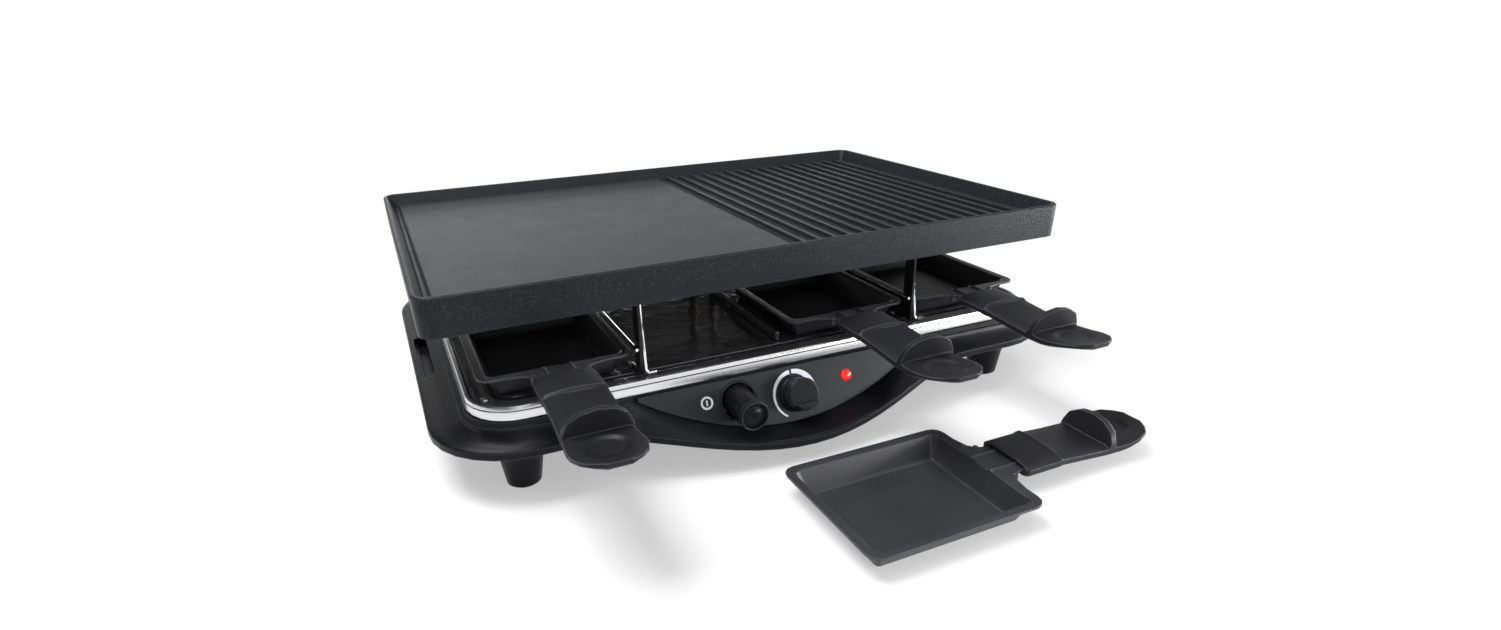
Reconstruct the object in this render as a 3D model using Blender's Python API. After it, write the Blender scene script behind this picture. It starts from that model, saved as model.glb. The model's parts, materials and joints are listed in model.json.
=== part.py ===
"""Raclette grill: a grill plate on a braced stand, a pan tray, a base with controls and four pans."""

import math

import bmesh
import bpy
from mathutils import Matrix, Vector

# Units. X runs along the length, +Y to the back, Z up from the table
MM = 0.001

# Clearances
SEAT_GAP = 0.3 * MM
RUNNING_GAP = 0.6 * MM
CUT_OVERRUN = 1.0 * MM

# Heights, from the table up
LIP_BOTTOM_HEIGHT = 30.2 * MM
COVER_RECESS = 1.2 * MM
BASE_SIDE_RISE = 17.3 * MM
STRIP_RISE = 7.5 * MM
SLOT_OPENING = 43.0 * MM
ELEMENT_AIR = 1.0 * MM

# Pans
PAN_PITCH = 94.0 * MM
PAN_SIDE_GAP = 7.6 * MM
PAN_LENGTH = 105.0 * MM
PAN_DEPTH = 14.0 * MM
PAN_SHEET = 1.2 * MM
PAN_FLANGE_WIDTH = 4.0 * MM
PAN_WALL_TAPER = 5.0 * MM
PAN_CORNER_RADIUS = 7.0 * MM
PAN_FLOOR_RADIUS = 1.6 * MM
PAN_REAR_OFFSET = 22.0 * MM
PAN_FRONT_MARGIN = 14.0 * MM
NECK_SHOULDER = 28.0 * MM
NECK_HALF_WIDTH = 14.0 * MM
NECK_SHOULDER_REACH = 9.0 * MM
NECK_REACH = 30.0 * MM
NECK_RIB_OFFSET = 7.5 * MM
NECK_RIB_WIDTH = 1.4 * MM
NECK_RIB_HEIGHT = 0.9 * MM
LOOSE_PAN_X = 12.0 * MM
LOOSE_PAN_GAP = 20.8 * MM

# Pan handle, lengths from the front edge of the pan
HANDLE_START = 12.0 * MM
HANDLE_RIDGE_AT = 36.0 * MM
HANDLE_STOP_AT = 73.0 * MM
HANDLE_END = 110.0 * MM
HANDLE_HALF_WIDTH = 17.5 * MM
HANDLE_THICKNESS = 8.0 * MM
HANDLE_TIP_THICKNESS = 4.6 * MM
HANDLE_CROWN = 1.6 * MM
HANDLE_RIDGE_HEIGHT = 1.0 * MM
HANDLE_RIDGE_WIDTH = 1.6 * MM
HANDLE_STOP_HEIGHT = 12.5 * MM
HANDLE_STOP_THICKNESS = 3.6 * MM
HANDLE_STOP_LEAN = 2.6 * MM
HANDLE_STOP_ROOT = 1.0 * MM
HANDLE_DISH = 2.2 * MM
HANDLE_SAG = 2.4 * MM

# Trim strip round the opening of the base, measured at its lower outer edge
STRIP_SIDE_MARGIN = 4.0 * MM
STRIP_CORNER_RADIUS = 28.0 * MM
STRIP_LEAN = 1.2 * MM
STRIP_THICKNESS = 1.0 * MM
STRIP_HEM_WIDTH = 2.4 * MM
STRIP_BEAD_HEIGHT = 2.2 * MM
STRIP_GROOVE_WIDTH = 0.6 * MM
STRIP_GROOVE_DEPTH = 0.4 * MM
STRIP_TURN_HEIGHT = 1.4 * MM
STRIP_TURN_DEPTH = 0.5 * MM

# Grill plate, one die casting
PLATE_SIDE_OVERHANG = 18.0 * MM
PLATE_SETBACK = 5.5 * MM
PLATE_CORNER_RADIUS = 10.0 * MM
PLATE_RIM_WIDTH = 3.0 * MM
PLATE_LEDGE_WIDTH = 4.5 * MM
PLATE_SKIRT_WALL = 3.0 * MM
PLATE_SKIRT_DRAFT = 0.8 * MM
PLATE_RIM_ROUND = 0.8 * MM
PLATE_FLOOR_THICKNESS = 4.0 * MM
PLATE_WELL_DEPTH = 9.0 * MM
GRIDDLE_STEP = 2.4 * MM
GRIDDLE_RIGHT_EDGE = 12.0 * MM
GRIDDLE_GROOVE = 2.0 * MM
GRIDDLE_ROUND = 1.2 * MM
RIB_PITCH = 11.3 * MM
RIB_WIDTH = 4.2 * MM
RIB_CREST_WIDTH = 2.6 * MM
RIB_HEIGHT = 2.6 * MM
RIB_FIRST_OFFSET = 9.0 * MM
RIB_END_CLEARANCE = 4.0 * MM
PLATE_FOOT_RADIUS = 5.0 * MM
PLATE_FOOT_INSET = 13.5 * MM

# Base shell, outer lip
BASE_FLARE_SIDE = 20.0 * MM
BASE_FLARE_FRONT = 11.0 * MM
BASE_CORNER_RADIUS = 50.0 * MM
BASE_WALL = 2.2 * MM
LIP_HEIGHT = 5.0 * MM
LIP_ROUND = 1.3 * MM
BULGE_REACH = 24.0 * MM
BULGE_SIDE_MARGIN = 19.0 * MM
BULGE_DROP = 20.0 * MM
RIDGE_STEP = 3.0 * MM
RIDGE_WIDTH = 2.0 * MM
RIDGE_DRAFT = 0.4 * MM
COLLAR_WIDTH = 2.2 * MM
LEDGE_DROP = 1.5 * MM
LEDGE_WIDTH = 7.0 * MM
CARRY_SLOT_LENGTH = 72.0 * MM
CARRY_SLOT_WIDTH = 8.0 * MM
CARRY_SLOT_INSET = 3.6 * MM
CARRY_SLOT_ROUND = 3.0 * MM

# Control panel, a lens-shaped insert that leans back
PANEL_LEAN = math.radians(68.0)
PANEL_CENTRE_X = -5.0 * MM
PANEL_HALF_WIDTH = 103.0 * MM
PANEL_SLANT_HEIGHT = 35.0 * MM
PANEL_TOP_MARGIN = 1.0 * MM
PANEL_THICKNESS = 2.0 * MM
PANEL_EDGE_ROUND = 0.5 * MM
PANEL_END_HEIGHT = 4.0 * MM

# Controls, each across the panel from its centre and down from its top edge
BUTTON_X = -36.5 * MM
BUTTON_LINE = 15.0 * MM
KNOB_X = 1.0 * MM
KNOB_LINE = 18.3 * MM
LAMP_X = 38.0 * MM
LAMP_LINE = 14.0 * MM
BUTTON_RADIUS = 9.0 * MM
BUTTON_REACH = 22.0 * MM
BUTTON_DISH_DEPTH = 1.6 * MM
BUTTON_RIM_WIDTH = 1.5 * MM
BUTTON_RIM_ROUND = 0.4 * MM
BUTTON_CROWN_RADIUS = 5.0 * MM
BUTTON_CROWN_RISE = 1.3 * MM
BUTTON_TRAVEL = 4.0 * MM
BUTTON_ENGAGEMENT = 5.0 * MM
BEZEL_WALL = 1.0 * MM
BEZEL_RISE = 0.6 * MM
SWITCH_WALL = 2.4 * MM
KNOB_RADIUS = 10.1 * MM
KNOB_SKIRT_RADIUS = 11.0 * MM
KNOB_SKIRT_HEIGHT = 2.4 * MM
KNOB_BODY_HEIGHT = 12.0 * MM
KNOB_EDGE_ROUND = 0.8 * MM
KNOB_GRIP_WIDTH = 4.0 * MM
KNOB_GRIP_RISE = 3.4 * MM
KNOB_GRIP_OFFSET = 6.4 * MM
SHAFT_RADIUS = 3.0 * MM
SHAFT_ENGAGEMENT = 6.0 * MM
THERMOSTAT_WIDTH = 30.0 * MM
THERMOSTAT_HEIGHT = 17.0 * MM
THERMOSTAT_DEPTH = 15.0 * MM
HOUSING_ROUND = 1.5 * MM
LAMP_RADIUS = 3.6 * MM
LAMP_DOME = 1.2 * MM
LAMP_TAIL = 6.0 * MM
LAMP_BODY_RADIUS = 5.0 * MM
LAMP_BODY_LENGTH = 8.0 * MM

# Pan tray, enamelled sheet with a fat channel round its deck
TRAY_SHEET = 1.0 * MM
TRAY_CHANNEL_DEPTH = 5.5 * MM
TRAY_CHANNEL_WIDTH = 4.5 * MM
TRAY_WALL_DRAFT = 1.5 * MM
TRAY_DECK_DROP = 2.5 * MM

# Stand: four posts with braces, two guide wires and the frame that they carry
POST_THICKNESS = 1.6 * MM
POST_DEPTH = 9.0 * MM
POST_SETBACK = 6.0 * MM
POST_FOOT_LENGTH = 8.0 * MM
WIRE_RADIUS = 1.0 * MM
BRACE_LEAN = 7.0 * MM
BRACE_FOOT_LENGTH = 6.0 * MM
GUIDE_CLEARANCE = 1.2 * MM
FRAME_SHEET = 1.3 * MM
FRAME_BAND = 16.0 * MM
FRAME_INSET = 6.0 * MM
FRAME_BRIDGE_WIDTH = 12.0 * MM

# Heating element, its two legs and the plate that they pass on the tray
ELEMENT_RADIUS = 3.2 * MM
ELEMENT_SIDE_INSET = 42.0 * MM
ELEMENT_FRONT_INSET = 51.5 * MM
LEG_OFFSET = 8.2 * MM
LEG_BEND_RADIUS = 9.0 * MM
RISER_WIDTH = 34.0 * MM
RISER_DEPTH = 16.0 * MM
RISER_HEIGHT = 3.0 * MM
RISER_ROUND = 0.8 * MM

# Low rails between the middle slots
RAIL_WIDTH = 3.0 * MM
RAIL_HEIGHT = 6.0 * MM
RAIL_ROUND = 0.75 * MM
RAIL_START = 24.0 * MM
RAIL_END_GAP = 9.0 * MM

# Underside
COVER_SIDE_INSET = 3.5 * MM
COVER_FRONT_INSET = 11.0 * MM
COVER_CORNER_RADIUS = 41.0 * MM
COVER_SHEET = 2.0 * MM
COVER_RIM_HEIGHT = 2.8 * MM
COVER_BOSS_RADIUS = 3.6 * MM
BELLY_AIR = 2.5 * MM
BELLY_SIDE_INSET = 25.0 * MM
BELLY_DEPTH = 80.0 * MM
BELLY_SIDE_TAPER = 14.0 * MM
BELLY_FRONT_WALL_HEIGHT = 5.0 * MM
FOOT_SIDE_INSET = 42.5 * MM
FOOT_FRONT_INSET = 17.8 * MM
FOOT_TOP_RADIUS = 17.0 * MM
FOOT_NECK_RADIUS = 12.4 * MM
FOOT_TIP_RADIUS = 9.8 * MM
FOOT_FLARE_HEIGHT = 8.7 * MM
PAD_HEIGHT = 2.5 * MM
PAD_RADIUS = 8.0 * MM
PAD_RECESS = 1.2 * MM
GLAND_X = 112.0 * MM
GLAND_REAR_INSET = 23.0 * MM
GLAND_RADIUS = 15.0 * MM
GLAND_FLANGE = 2.2 * MM
GLAND_BORE_RADIUS = 4.6 * MM
TERMINAL_LENGTH = 34.0 * MM
TERMINAL_DEPTH = 14.0 * MM
TERMINAL_HEIGHT = 11.0 * MM

# Counts
CORNER_STEPS = 7
SMALL_CORNER_STEPS = 3
BEND_STEPS = 4
PANEL_STEPS = 16
ROUND_STEPS = 20
FINE_STEPS = 24
SMALL_STEPS = 12
WIRE_SIDES = 8
SMOOTH_ANGLE = math.radians(38.0)

# Each corner's name with its side in X and in Y
CORNERS = (
    ("front_left", -1, -1),
    ("front_right", 1, -1),
    ("rear_left", -1, 1),
    ("rear_right", 1, 1),
)

# Where the front swells to the bulge beside the panel, from the panel's end to the bulge's end
BULGE_STATION_SHARES = (0.3, 0.65, 1.0)

# How full the bulge is between its ends and its middle, as a power of its swell
BULGE_FULLNESS_SHARE = 0.65

# The sweep of the base's top from its ridges to its lip: shares of the way out and of the way down
SWEEP_SHARES = ((0.45, 0.62), (0.75, 0.87))

# The scoop under the panel, out to the lip and up to it
SCOOP_SHARES = ((0.35, 0.10), (0.72, 0.50))

# Where the foot's cone turns into its flare, from its neck to its top
FOOT_FLARE_SHARES = (0.30, 0.42)

# The pan's neck from shoulder to side, as shares of the shoulder's extra width and of its reach
SHOULDER_SHARES = ((1.0, 0.0), (0.35, 0.22), (0.05, 0.62), (0.0, 1.0))

# Where the same points lie on the pan's wall, from the neck's ribs to its shoulder
WALL_SHARES = (1.0, 0.66, 0.44, 0.32, 0.16)

# Points across the handle, as shares of its half width
ACROSS_SHARES = (-1.0, -0.84, -0.48, 0.0, 0.48, 0.84, 1.0)
SHOULDER_DROP_SHARE = 0.26
MOON_WIDTH_SHARE = 0.97

# The handle's tip: shares of its length, of the half width and of the dish
SPOON_SHARES = (
    (0.10, 1.02, 0.35),
    (0.30, 1.05, 0.80),
    (0.55, 1.04, 1.00),
    (0.78, 0.90, 0.80),
    (0.92, 0.66, 0.35),
    (1.00, 0.38, 0.10),
)

# How much of the handle's thickness lies over the pan's neck, and how much of the sag comes before the stop
NECK_DEPTH_SHARE = 0.45
EARLY_SAG_SHARE = 0.55

# The dome in the button's face, as shares of its radius and of its rise
CROWN_SHARES = ((0.80, 0.62), (0.40, 1.0))

# Colour, roughness and metallic value of each material
FINISHES = {
    "cast_aluminium_coated": ((0.030, 0.032, 0.036), 0.55, 0.3),
    "black_plastic": ((0.022, 0.022, 0.024), 0.45, 0.0),
    "panel_plastic": ((0.055, 0.056, 0.060), 0.5, 0.0),
    "brushed_steel": ((0.72, 0.72, 0.73), 0.28, 1.0),
    "chrome_wire": ((0.80, 0.80, 0.82), 0.12, 1.0),
    "black_enamel": ((0.012, 0.012, 0.013), 0.18, 0.0),
    "black_coated_sheet": ((0.020, 0.020, 0.021), 0.4, 0.2),
    "non_stick_coating": ((0.035, 0.036, 0.038), 0.42, 0.0),
    "element_sheath": ((0.10, 0.095, 0.09), 0.5, 0.8),
    "rubber": ((0.030, 0.030, 0.030), 0.85, 0.0),
    "red_lens": ((0.80, 0.03, 0.02), 0.2, 0.0),
    "housing_plastic": ((0.75, 0.74, 0.70), 0.5, 0.0),
}

# Derived heights
COVER_TOP_HEIGHT = LIP_BOTTOM_HEIGHT - COVER_RECESS
STRIP_LOW_HEIGHT = LIP_BOTTOM_HEIGHT + BASE_SIDE_RISE
STRIP_TOP_HEIGHT = STRIP_LOW_HEIGHT + STRIP_RISE
COLLAR_TOP = STRIP_TOP_HEIGHT - STRIP_THICKNESS - SEAT_GAP
LEDGE_TOP = COLLAR_TOP - LEDGE_DROP
TRAY_TOP = LEDGE_TOP + SEAT_GAP + TRAY_SHEET
DECK_TOP = STRIP_TOP_HEIGHT - TRAY_DECK_DROP
PAN_BASE = DECK_TOP + SEAT_GAP
GUIDE_HEIGHT = PAN_BASE + PAN_DEPTH + GUIDE_CLEARANCE + WIRE_RADIUS
SKIRT_BOTTOM_HEIGHT = STRIP_TOP_HEIGHT + SLOT_OPENING
FRAME_TOP = SKIRT_BOTTOM_HEIGHT + FRAME_SHEET
POST_TOP = SKIRT_BOTTOM_HEIGHT - SEAT_GAP
ELEMENT_AXIS = FRAME_TOP + SEAT_GAP + ELEMENT_RADIUS
PLATE_UNDERSIDE = ELEMENT_AXIS + ELEMENT_RADIUS + ELEMENT_AIR
WELL_FLOOR = PLATE_UNDERSIDE + PLATE_FLOOR_THICKNESS
PLATE_TOP_HEIGHT = WELL_FLOOR + PLATE_WELL_DEPTH

# Derived sizes of the controls: the lowest corner behind the knob, and the bore that the level button needs
SKIN = PANEL_THICKNESS + SEAT_GAP + BASE_WALL
THERMOSTAT_SLANT = (KNOB_LINE + THERMOSTAT_HEIGHT / 2) * math.sin(PANEL_LEAN)
THERMOSTAT_SINK = (SKIN + SEAT_GAP + THERMOSTAT_DEPTH) * math.cos(PANEL_LEAN)
THERMOSTAT_LOW = STRIP_LOW_HEIGHT - RUNNING_GAP - THERMOSTAT_SLANT - THERMOSTAT_SINK
BUTTON_TILT = PANEL_THICKNESS / math.tan(PANEL_LEAN)
BEZEL_BORE = BUTTON_RADIUS / math.sin(PANEL_LEAN) + BUTTON_TILT + SEAT_GAP
BEZEL_RADIUS = BEZEL_BORE + BEZEL_WALL

# Derived plan sizes, from the pans outwards
PAN_WIDTH = PAN_PITCH - PAN_SIDE_GAP
PAN_CENTRE_Y = -PAN_REAR_OFFSET - PAN_LENGTH / 2
STRIP_HALF_LENGTH = 2 * PAN_PITCH + STRIP_SIDE_MARGIN
STRIP_HALF_DEPTH = PAN_REAR_OFFSET + PAN_LENGTH + PAN_FRONT_MARGIN
PLATE_HALF_LENGTH = STRIP_HALF_LENGTH + PLATE_SIDE_OVERHANG
PLATE_HALF_DEPTH = STRIP_HALF_DEPTH - PLATE_SETBACK
BASE_HALF_LENGTH = STRIP_HALF_LENGTH + BASE_FLARE_SIDE
BASE_HALF_DEPTH = STRIP_HALF_DEPTH + BASE_FLARE_FRONT
BULGE_HALF_WIDTH = PANEL_HALF_WIDTH + BULGE_SIDE_MARGIN
LOOSE_PAN_Y = -BASE_HALF_DEPTH - BULGE_REACH - LOOSE_PAN_GAP - PAN_WIDTH / 2
POST_FRONT_LINE = PLATE_HALF_DEPTH - POST_SETBACK
ELEMENT_SPAN_X = PLATE_HALF_LENGTH - ELEMENT_SIDE_INSET
ELEMENT_SPAN_Y = PLATE_HALF_DEPTH - ELEMENT_FRONT_INSET
ELEMENT_BEND_RADIUS = ELEMENT_SPAN_Y / 4
RAIL_END = PAN_REAR_OFFSET + PAN_LENGTH - RAIL_END_GAP
COVER_HALF_LENGTH = BASE_HALF_LENGTH - COVER_SIDE_INSET
COVER_HALF_DEPTH = BASE_HALF_DEPTH - COVER_FRONT_INSET
BELLY_DROP = COVER_TOP_HEIGHT - THERMOSTAT_LOW + BELLY_AIR
BELLY_HALF_WIDTH = PANEL_HALF_WIDTH - BELLY_SIDE_INSET
FOOT_X = COVER_HALF_LENGTH - FOOT_SIDE_INSET
FOOT_Y = COVER_HALF_DEPTH - FOOT_FRONT_INSET
GLAND_Y = COVER_HALF_DEPTH - GLAND_REAR_INSET


def clear_scene():
    for item in list(bpy.data.objects):
        bpy.data.objects.remove(item, do_unlink=True)


def finish(name):
    colour, roughness, metallic = FINISHES[name]
    material = bpy.data.materials.new(name)
    material.use_nodes = True
    shader = material.node_tree.nodes["Principled BSDF"]
    shader.inputs["Base Color"].default_value = (*colour, 1.0)
    shader.inputs["Roughness"].default_value = roughness
    shader.inputs["Metallic"].default_value = metallic
    return material


class Shape:
    """Collects closed solids in one mesh."""

    def __init__(self):
        self.points = []
        self.faces = []

    def loft(self, loops, ring=False):
        """Skins loops of equal length. A ring has no ends, and otherwise both ends are capped."""
        start = len(self.points)
        count = len(loops[0])
        for loop in loops:
            self.points.extend(Vector(point) for point in loop)
        spans = len(loops) if ring else len(loops) - 1
        for row in range(spans):
            this_row = start + row * count
            next_row = start + (row + 1) % len(loops) * count
            for i in range(count):
                j = (i + 1) % count
                self.faces.append((this_row + i, this_row + j, next_row + j, next_row + i))
        if not ring:
            self.faces.append(tuple(start + i for i in reversed(range(count))))
            last = start + (len(loops) - 1) * count
            self.faces.append(tuple(last + i for i in range(count)))
        return self

    def sweep(self, columns):
        """Joins closed cross-sections, one for each column round a closed path."""
        return self.loft(columns, ring=True)

    def turned(self, profile, steps, centre=(0.0, 0.0)):
        """Turns a profile of (radius, height) about Z, up its outer side, with both ends capped flat."""
        loops = []
        for radius, height in profile:
            loops.append(circle(radius, height, steps, centre))
        return self.loft(loops)

    def tube(self, path, radius, sides=WIRE_SIDES):
        """Round bar along a path, its cross-sections turned as little as they can be."""
        path = [Vector(point) for point in path]
        across = (path[1] - path[0]).orthogonal()
        loops = []
        for i, point in enumerate(path):
            ahead = (path[min(i + 1, len(path) - 1)] - point).normalized()
            behind = (point - path[max(i - 1, 0)]).normalized()
            forward = (ahead + behind).normalized()
            across = (across - forward * across.dot(forward)).normalized()
            up = forward.cross(across)
            loops.append([point + across * a + up * b for a, b, _ in circle(radius, 0.0, sides)])
        return self.loft(loops)

    def block(self, low, high, bevel=0.0):
        centre_x = (low[0] + high[0]) / 2
        centre_y = (low[1] + high[1]) / 2
        half_x = (high[0] - low[0]) / 2
        half_y = (high[1] - low[1]) / 2
        if bevel == 0.0:
            corners = [(low[0], low[1]), (high[0], low[1]), (high[0], high[1]), (low[0], high[1])]
            return self.loft([[(x, y, z) for x, y in corners] for z in (low[2], high[2])])
        levels = [(low[2], bevel), (low[2] + bevel, 0.0), (high[2] - bevel, 0.0), (high[2], bevel)]
        loops = []
        for height, inset in levels:
            loop = rounded_rectangle(half_x - inset, half_y - inset, bevel, height, 2)
            loops.append([(x + centre_x, y + centre_y, z) for x, y, z in loop])
        return self.loft(loops)

    def object(self, name, material, parent=None, smooth=True):
        mesh = bpy.data.meshes.new(name)
        mesh.from_pydata(self.points, [], self.faces)
        face_outwards(mesh)
        if smooth:
            mesh.shade_smooth()
            mesh.set_sharp_from_angle(angle=SMOOTH_ANGLE)
        if material:
            mesh.materials.append(material)
        return place(name, mesh, parent)


def face_outwards(mesh):
    work = bmesh.new()
    work.from_mesh(mesh)
    bmesh.ops.recalc_face_normals(work, faces=work.faces)
    work.to_mesh(mesh)
    work.free()


def place(name, data, parent=None):
    item = bpy.data.objects.new(name, data)
    bpy.context.scene.collection.objects.link(item)
    if parent:
        item.parent = parent
    return item


def empty(name, location=(0.0, 0.0, 0.0), rotation=(0.0, 0.0, 0.0), parent=None):
    item = place(name, None, parent)
    item.location = location
    item.rotation_euler = rotation
    return item


def cut(item, cutter, operation="DIFFERENCE"):
    """Puts a Boolean on the item, and makes the other mesh a hidden helper in the same frame."""
    cutter.hide_render = True
    cutter.display_type = "WIRE"
    modifier = item.modifiers.new(operation.lower(), "BOOLEAN")
    modifier.object = cutter
    modifier.operation = operation
    modifier.solver = "EXACT"


def circle(radius, height, steps, centre=(0.0, 0.0)):
    turn = 2 * math.pi / steps
    return [
        (centre[0] + radius * math.cos(i * turn), centre[1] + radius * math.sin(i * turn), height)
        for i in range(steps)
    ]


def rounded_rectangle(half_x, half_y, radius, height, steps=CORNER_STEPS):
    """Counter-clockwise from the front right corner, each corner as an arc."""
    points = []
    for quarter, (side_x, side_y) in enumerate(((1, -1), (1, 1), (-1, 1), (-1, -1))):
        centre_x = side_x * (half_x - radius)
        centre_y = side_y * (half_y - radius)
        for step in range(steps + 1):
            angle = (quarter - 1 + step / steps) * math.pi / 2
            points.append(
                (centre_x + radius * math.cos(angle), centre_y + radius * math.sin(angle), height)
            )
    return points


def along(first, second, shares):
    """The point that lies by its own share of the way from the first to the second on each axis."""
    return tuple(a + (b - a) * share for a, b, share in zip(first, second, shares))


def ease(share):
    """A share that starts and ends its way slowly."""
    return (1.0 - math.cos(math.pi * share)) / 2


def bulge_share(x):
    """How far the front swells at x from the panel's centre, 0 at its ends and 1 in the middle."""
    if abs(x) >= BULGE_HALF_WIDTH:
        return 0.0
    return ease(1.0 - abs(x) / BULGE_HALF_WIDTH) ** BULGE_FULLNESS_SHARE


def panel_slant(x):
    """Length of the panel down its slope at x, a parabola."""
    return PANEL_SLANT_HEIGHT * max(0.0, 1.0 - (x / PANEL_HALF_WIDTH) ** 2)


def panel_end():
    """Half the length of the panel, where it is still as high as its ends are."""
    return PANEL_HALF_WIDTH * math.sqrt(1.0 - PANEL_END_HEIGHT / PANEL_SLANT_HEIGHT)


def panel_stations():
    end = panel_end()
    return [-end + 2 * end * step / PANEL_STEPS for step in range(PANEL_STEPS + 1)]


def front_stations():
    """Places along the front, with whether each lies behind the panel."""
    end = panel_end()
    middle = [(x, True) for x in panel_stations()]
    right = []
    for share in BULGE_STATION_SHARES:
        right.append((end + RUNNING_GAP + (BULGE_HALF_WIDTH - end) * share, False))
    left = [(-x, behind) for x, behind in reversed(right)]
    middle[0] = (-end - RUNNING_GAP, True)
    middle[-1] = (end + RUNNING_GAP, True)
    return left + middle + right


def base_columns():
    """Plan points round the base, on the strip's edge and on the lip, and x from the panel's centre."""
    inner = rounded_rectangle(STRIP_HALF_LENGTH, STRIP_HALF_DEPTH, STRIP_CORNER_RADIUS, 0.0)
    outer = rounded_rectangle(BASE_HALF_LENGTH, BASE_HALF_DEPTH, BASE_CORNER_RADIUS, 0.0)
    columns = [(inner[i][:2], outer[i][:2], None, False) for i in range(len(inner))]
    for x, behind in front_stations():
        y = -BASE_HALF_DEPTH - BULGE_REACH * bulge_share(x)
        place_x = PANEL_CENTRE_X + x
        columns.append(((place_x, -STRIP_HALF_DEPTH), (place_x, y), x, behind))
    return columns


def in_plan(column, reach, height):
    """The point that lies so far outside the strip's edge, towards the lip."""
    inner, outer = Vector(column[0]), Vector(column[1])
    spot = inner + (outer - inner).normalized() * reach
    return (spot.x, spot.y, height)


def slope_point(slant, depth):
    """(reach, height) of a point so far down the panel's slope and so far in front of its face."""
    reach = SEAT_GAP + slant * math.cos(PANEL_LEAN) + depth * math.sin(PANEL_LEAN)
    height = STRIP_LOW_HEIGHT - RUNNING_GAP - slant * math.sin(PANEL_LEAN) + depth * math.cos(PANEL_LEAN)
    return reach, height


def skin_reach(height):
    """How far out the shell's back lies behind the panel at a height, less a clearance."""
    depth = -SKIN - RUNNING_GAP
    top = slope_point(0.0, depth)[1]
    return slope_point((top - height) / math.sin(PANEL_LEAN), depth)[0]


def collar_points():
    """The shell's ledge and collar behind the trim strip, from the ledge's inner edge to under the strip."""
    face_run = STRIP_THICKNESS + SEAT_GAP
    lean = STRIP_LEAN / (STRIP_TOP_HEIGHT - STRIP_LOW_HEIGHT)
    top_reach = -STRIP_LEAN - face_run + lean * STRIP_THICKNESS
    low_reach = -face_run
    low_height = STRIP_LOW_HEIGHT - RUNNING_GAP
    wall_reach = top_reach - COLLAR_WIDTH
    return [
        (wall_reach - LEDGE_WIDTH, LEDGE_TOP),
        (wall_reach, LEDGE_TOP),
        (wall_reach, COLLAR_TOP),
        (top_reach, COLLAR_TOP),
        (low_reach, low_height),
    ]


def ledge_underside():
    ledge = collar_points()
    return [
        (ledge[-1][0] - BASE_WALL, ledge[-1][1] - BASE_WALL / 2),
        (ledge[2][0] - SEAT_GAP, LEDGE_TOP - BASE_WALL),
        (ledge[0][0], LEDGE_TOP - BASE_WALL),
    ]


def lip_points(reach, drop):
    """The lip's crown, outer face, lower edge and hollow."""
    bottom = LIP_BOTTOM_HEIGHT - drop
    top = bottom + LIP_HEIGHT
    return [
        (reach - LIP_ROUND, top),
        (reach, top - LIP_ROUND),
        (reach, bottom),
        (reach - BASE_WALL, bottom),
        (reach - BASE_WALL, top - BASE_WALL),
    ]


def plain_section(reach, drop):
    """Cross-section of the shell where it has two ridges and a sweep to the lip."""
    shoulder = STRIP_LOW_HEIGHT - RUNNING_GAP
    first_low = shoulder - RIDGE_STEP
    second_low = first_low - RIDGE_STEP
    lip = lip_points(reach, drop)
    first_out = SEAT_GAP + RIDGE_DRAFT
    second_out = first_out + RIDGE_WIDTH
    near, far = [along((second_out, second_low), lip[0], shares) for shares in SWEEP_SHARES]
    return [
        (SEAT_GAP, shoulder),
        (first_out, first_low),
        (second_out - RIDGE_DRAFT, first_low),
        (second_out, second_low),
        near,
        far,
        *lip,
        (near[0], near[1] - BASE_WALL),
        (second_out - BASE_WALL, second_low - BASE_WALL),
        (-BASE_WALL / 2, first_low - BASE_WALL),
    ]


def panel_section(x, reach, drop):
    """Cross-section of the shell behind the panel and across the scoop under it."""
    slant = panel_slant(x)
    back = -PANEL_THICKNESS - SEAT_GAP
    edge = slope_point(slant + SEAT_GAP, SEAT_GAP)
    lip = lip_points(reach, drop)
    near, far = [along(edge, lip[0], shares) for shares in SCOOP_SHARES]
    return [
        slope_point(0.0, back),
        slope_point(slant / 2, back),
        slope_point(slant + SEAT_GAP, back),
        edge,
        near,
        far,
        *lip,
        (near[0], near[1] - BASE_WALL),
        slope_point(slant + BASE_WALL / 2, back - BASE_WALL),
        slope_point(slant / 2, back - BASE_WALL),
    ]


def shell_section(column):
    reach = (Vector(column[1]) - Vector(column[0])).length
    x, behind_panel = column[2:]
    drop = 0.0 if x is None else BULGE_DROP * bulge_share(x)
    middle = panel_section(x, reach, drop) if behind_panel else plain_section(reach, drop)
    section = collar_points() + middle + ledge_underside()
    return [in_plan(column, *point) for point in section]


def make_base_shell(root, material):
    shell = Shape().sweep([shell_section(column) for column in base_columns()])
    item = shell.object("base_shell", material, root)
    slots = Shape()
    centre = BASE_HALF_LENGTH - CARRY_SLOT_INSET - CARRY_SLOT_WIDTH / 2
    for side in (-1, 1):
        loops = []
        for height in (LIP_BOTTOM_HEIGHT - CUT_OVERRUN, STRIP_LOW_HEIGHT):
            half_x, half_y = CARRY_SLOT_WIDTH / 2, CARRY_SLOT_LENGTH / 2
            loop = rounded_rectangle(half_x, half_y, CARRY_SLOT_ROUND, height, SMALL_CORNER_STEPS)
            loops.append([(x + side * centre, y, z) for x, y, z in loop])
        slots.loft(loops)
    cut(item, slots.object("carry_slot_cutter", None, root))
    return item


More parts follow.
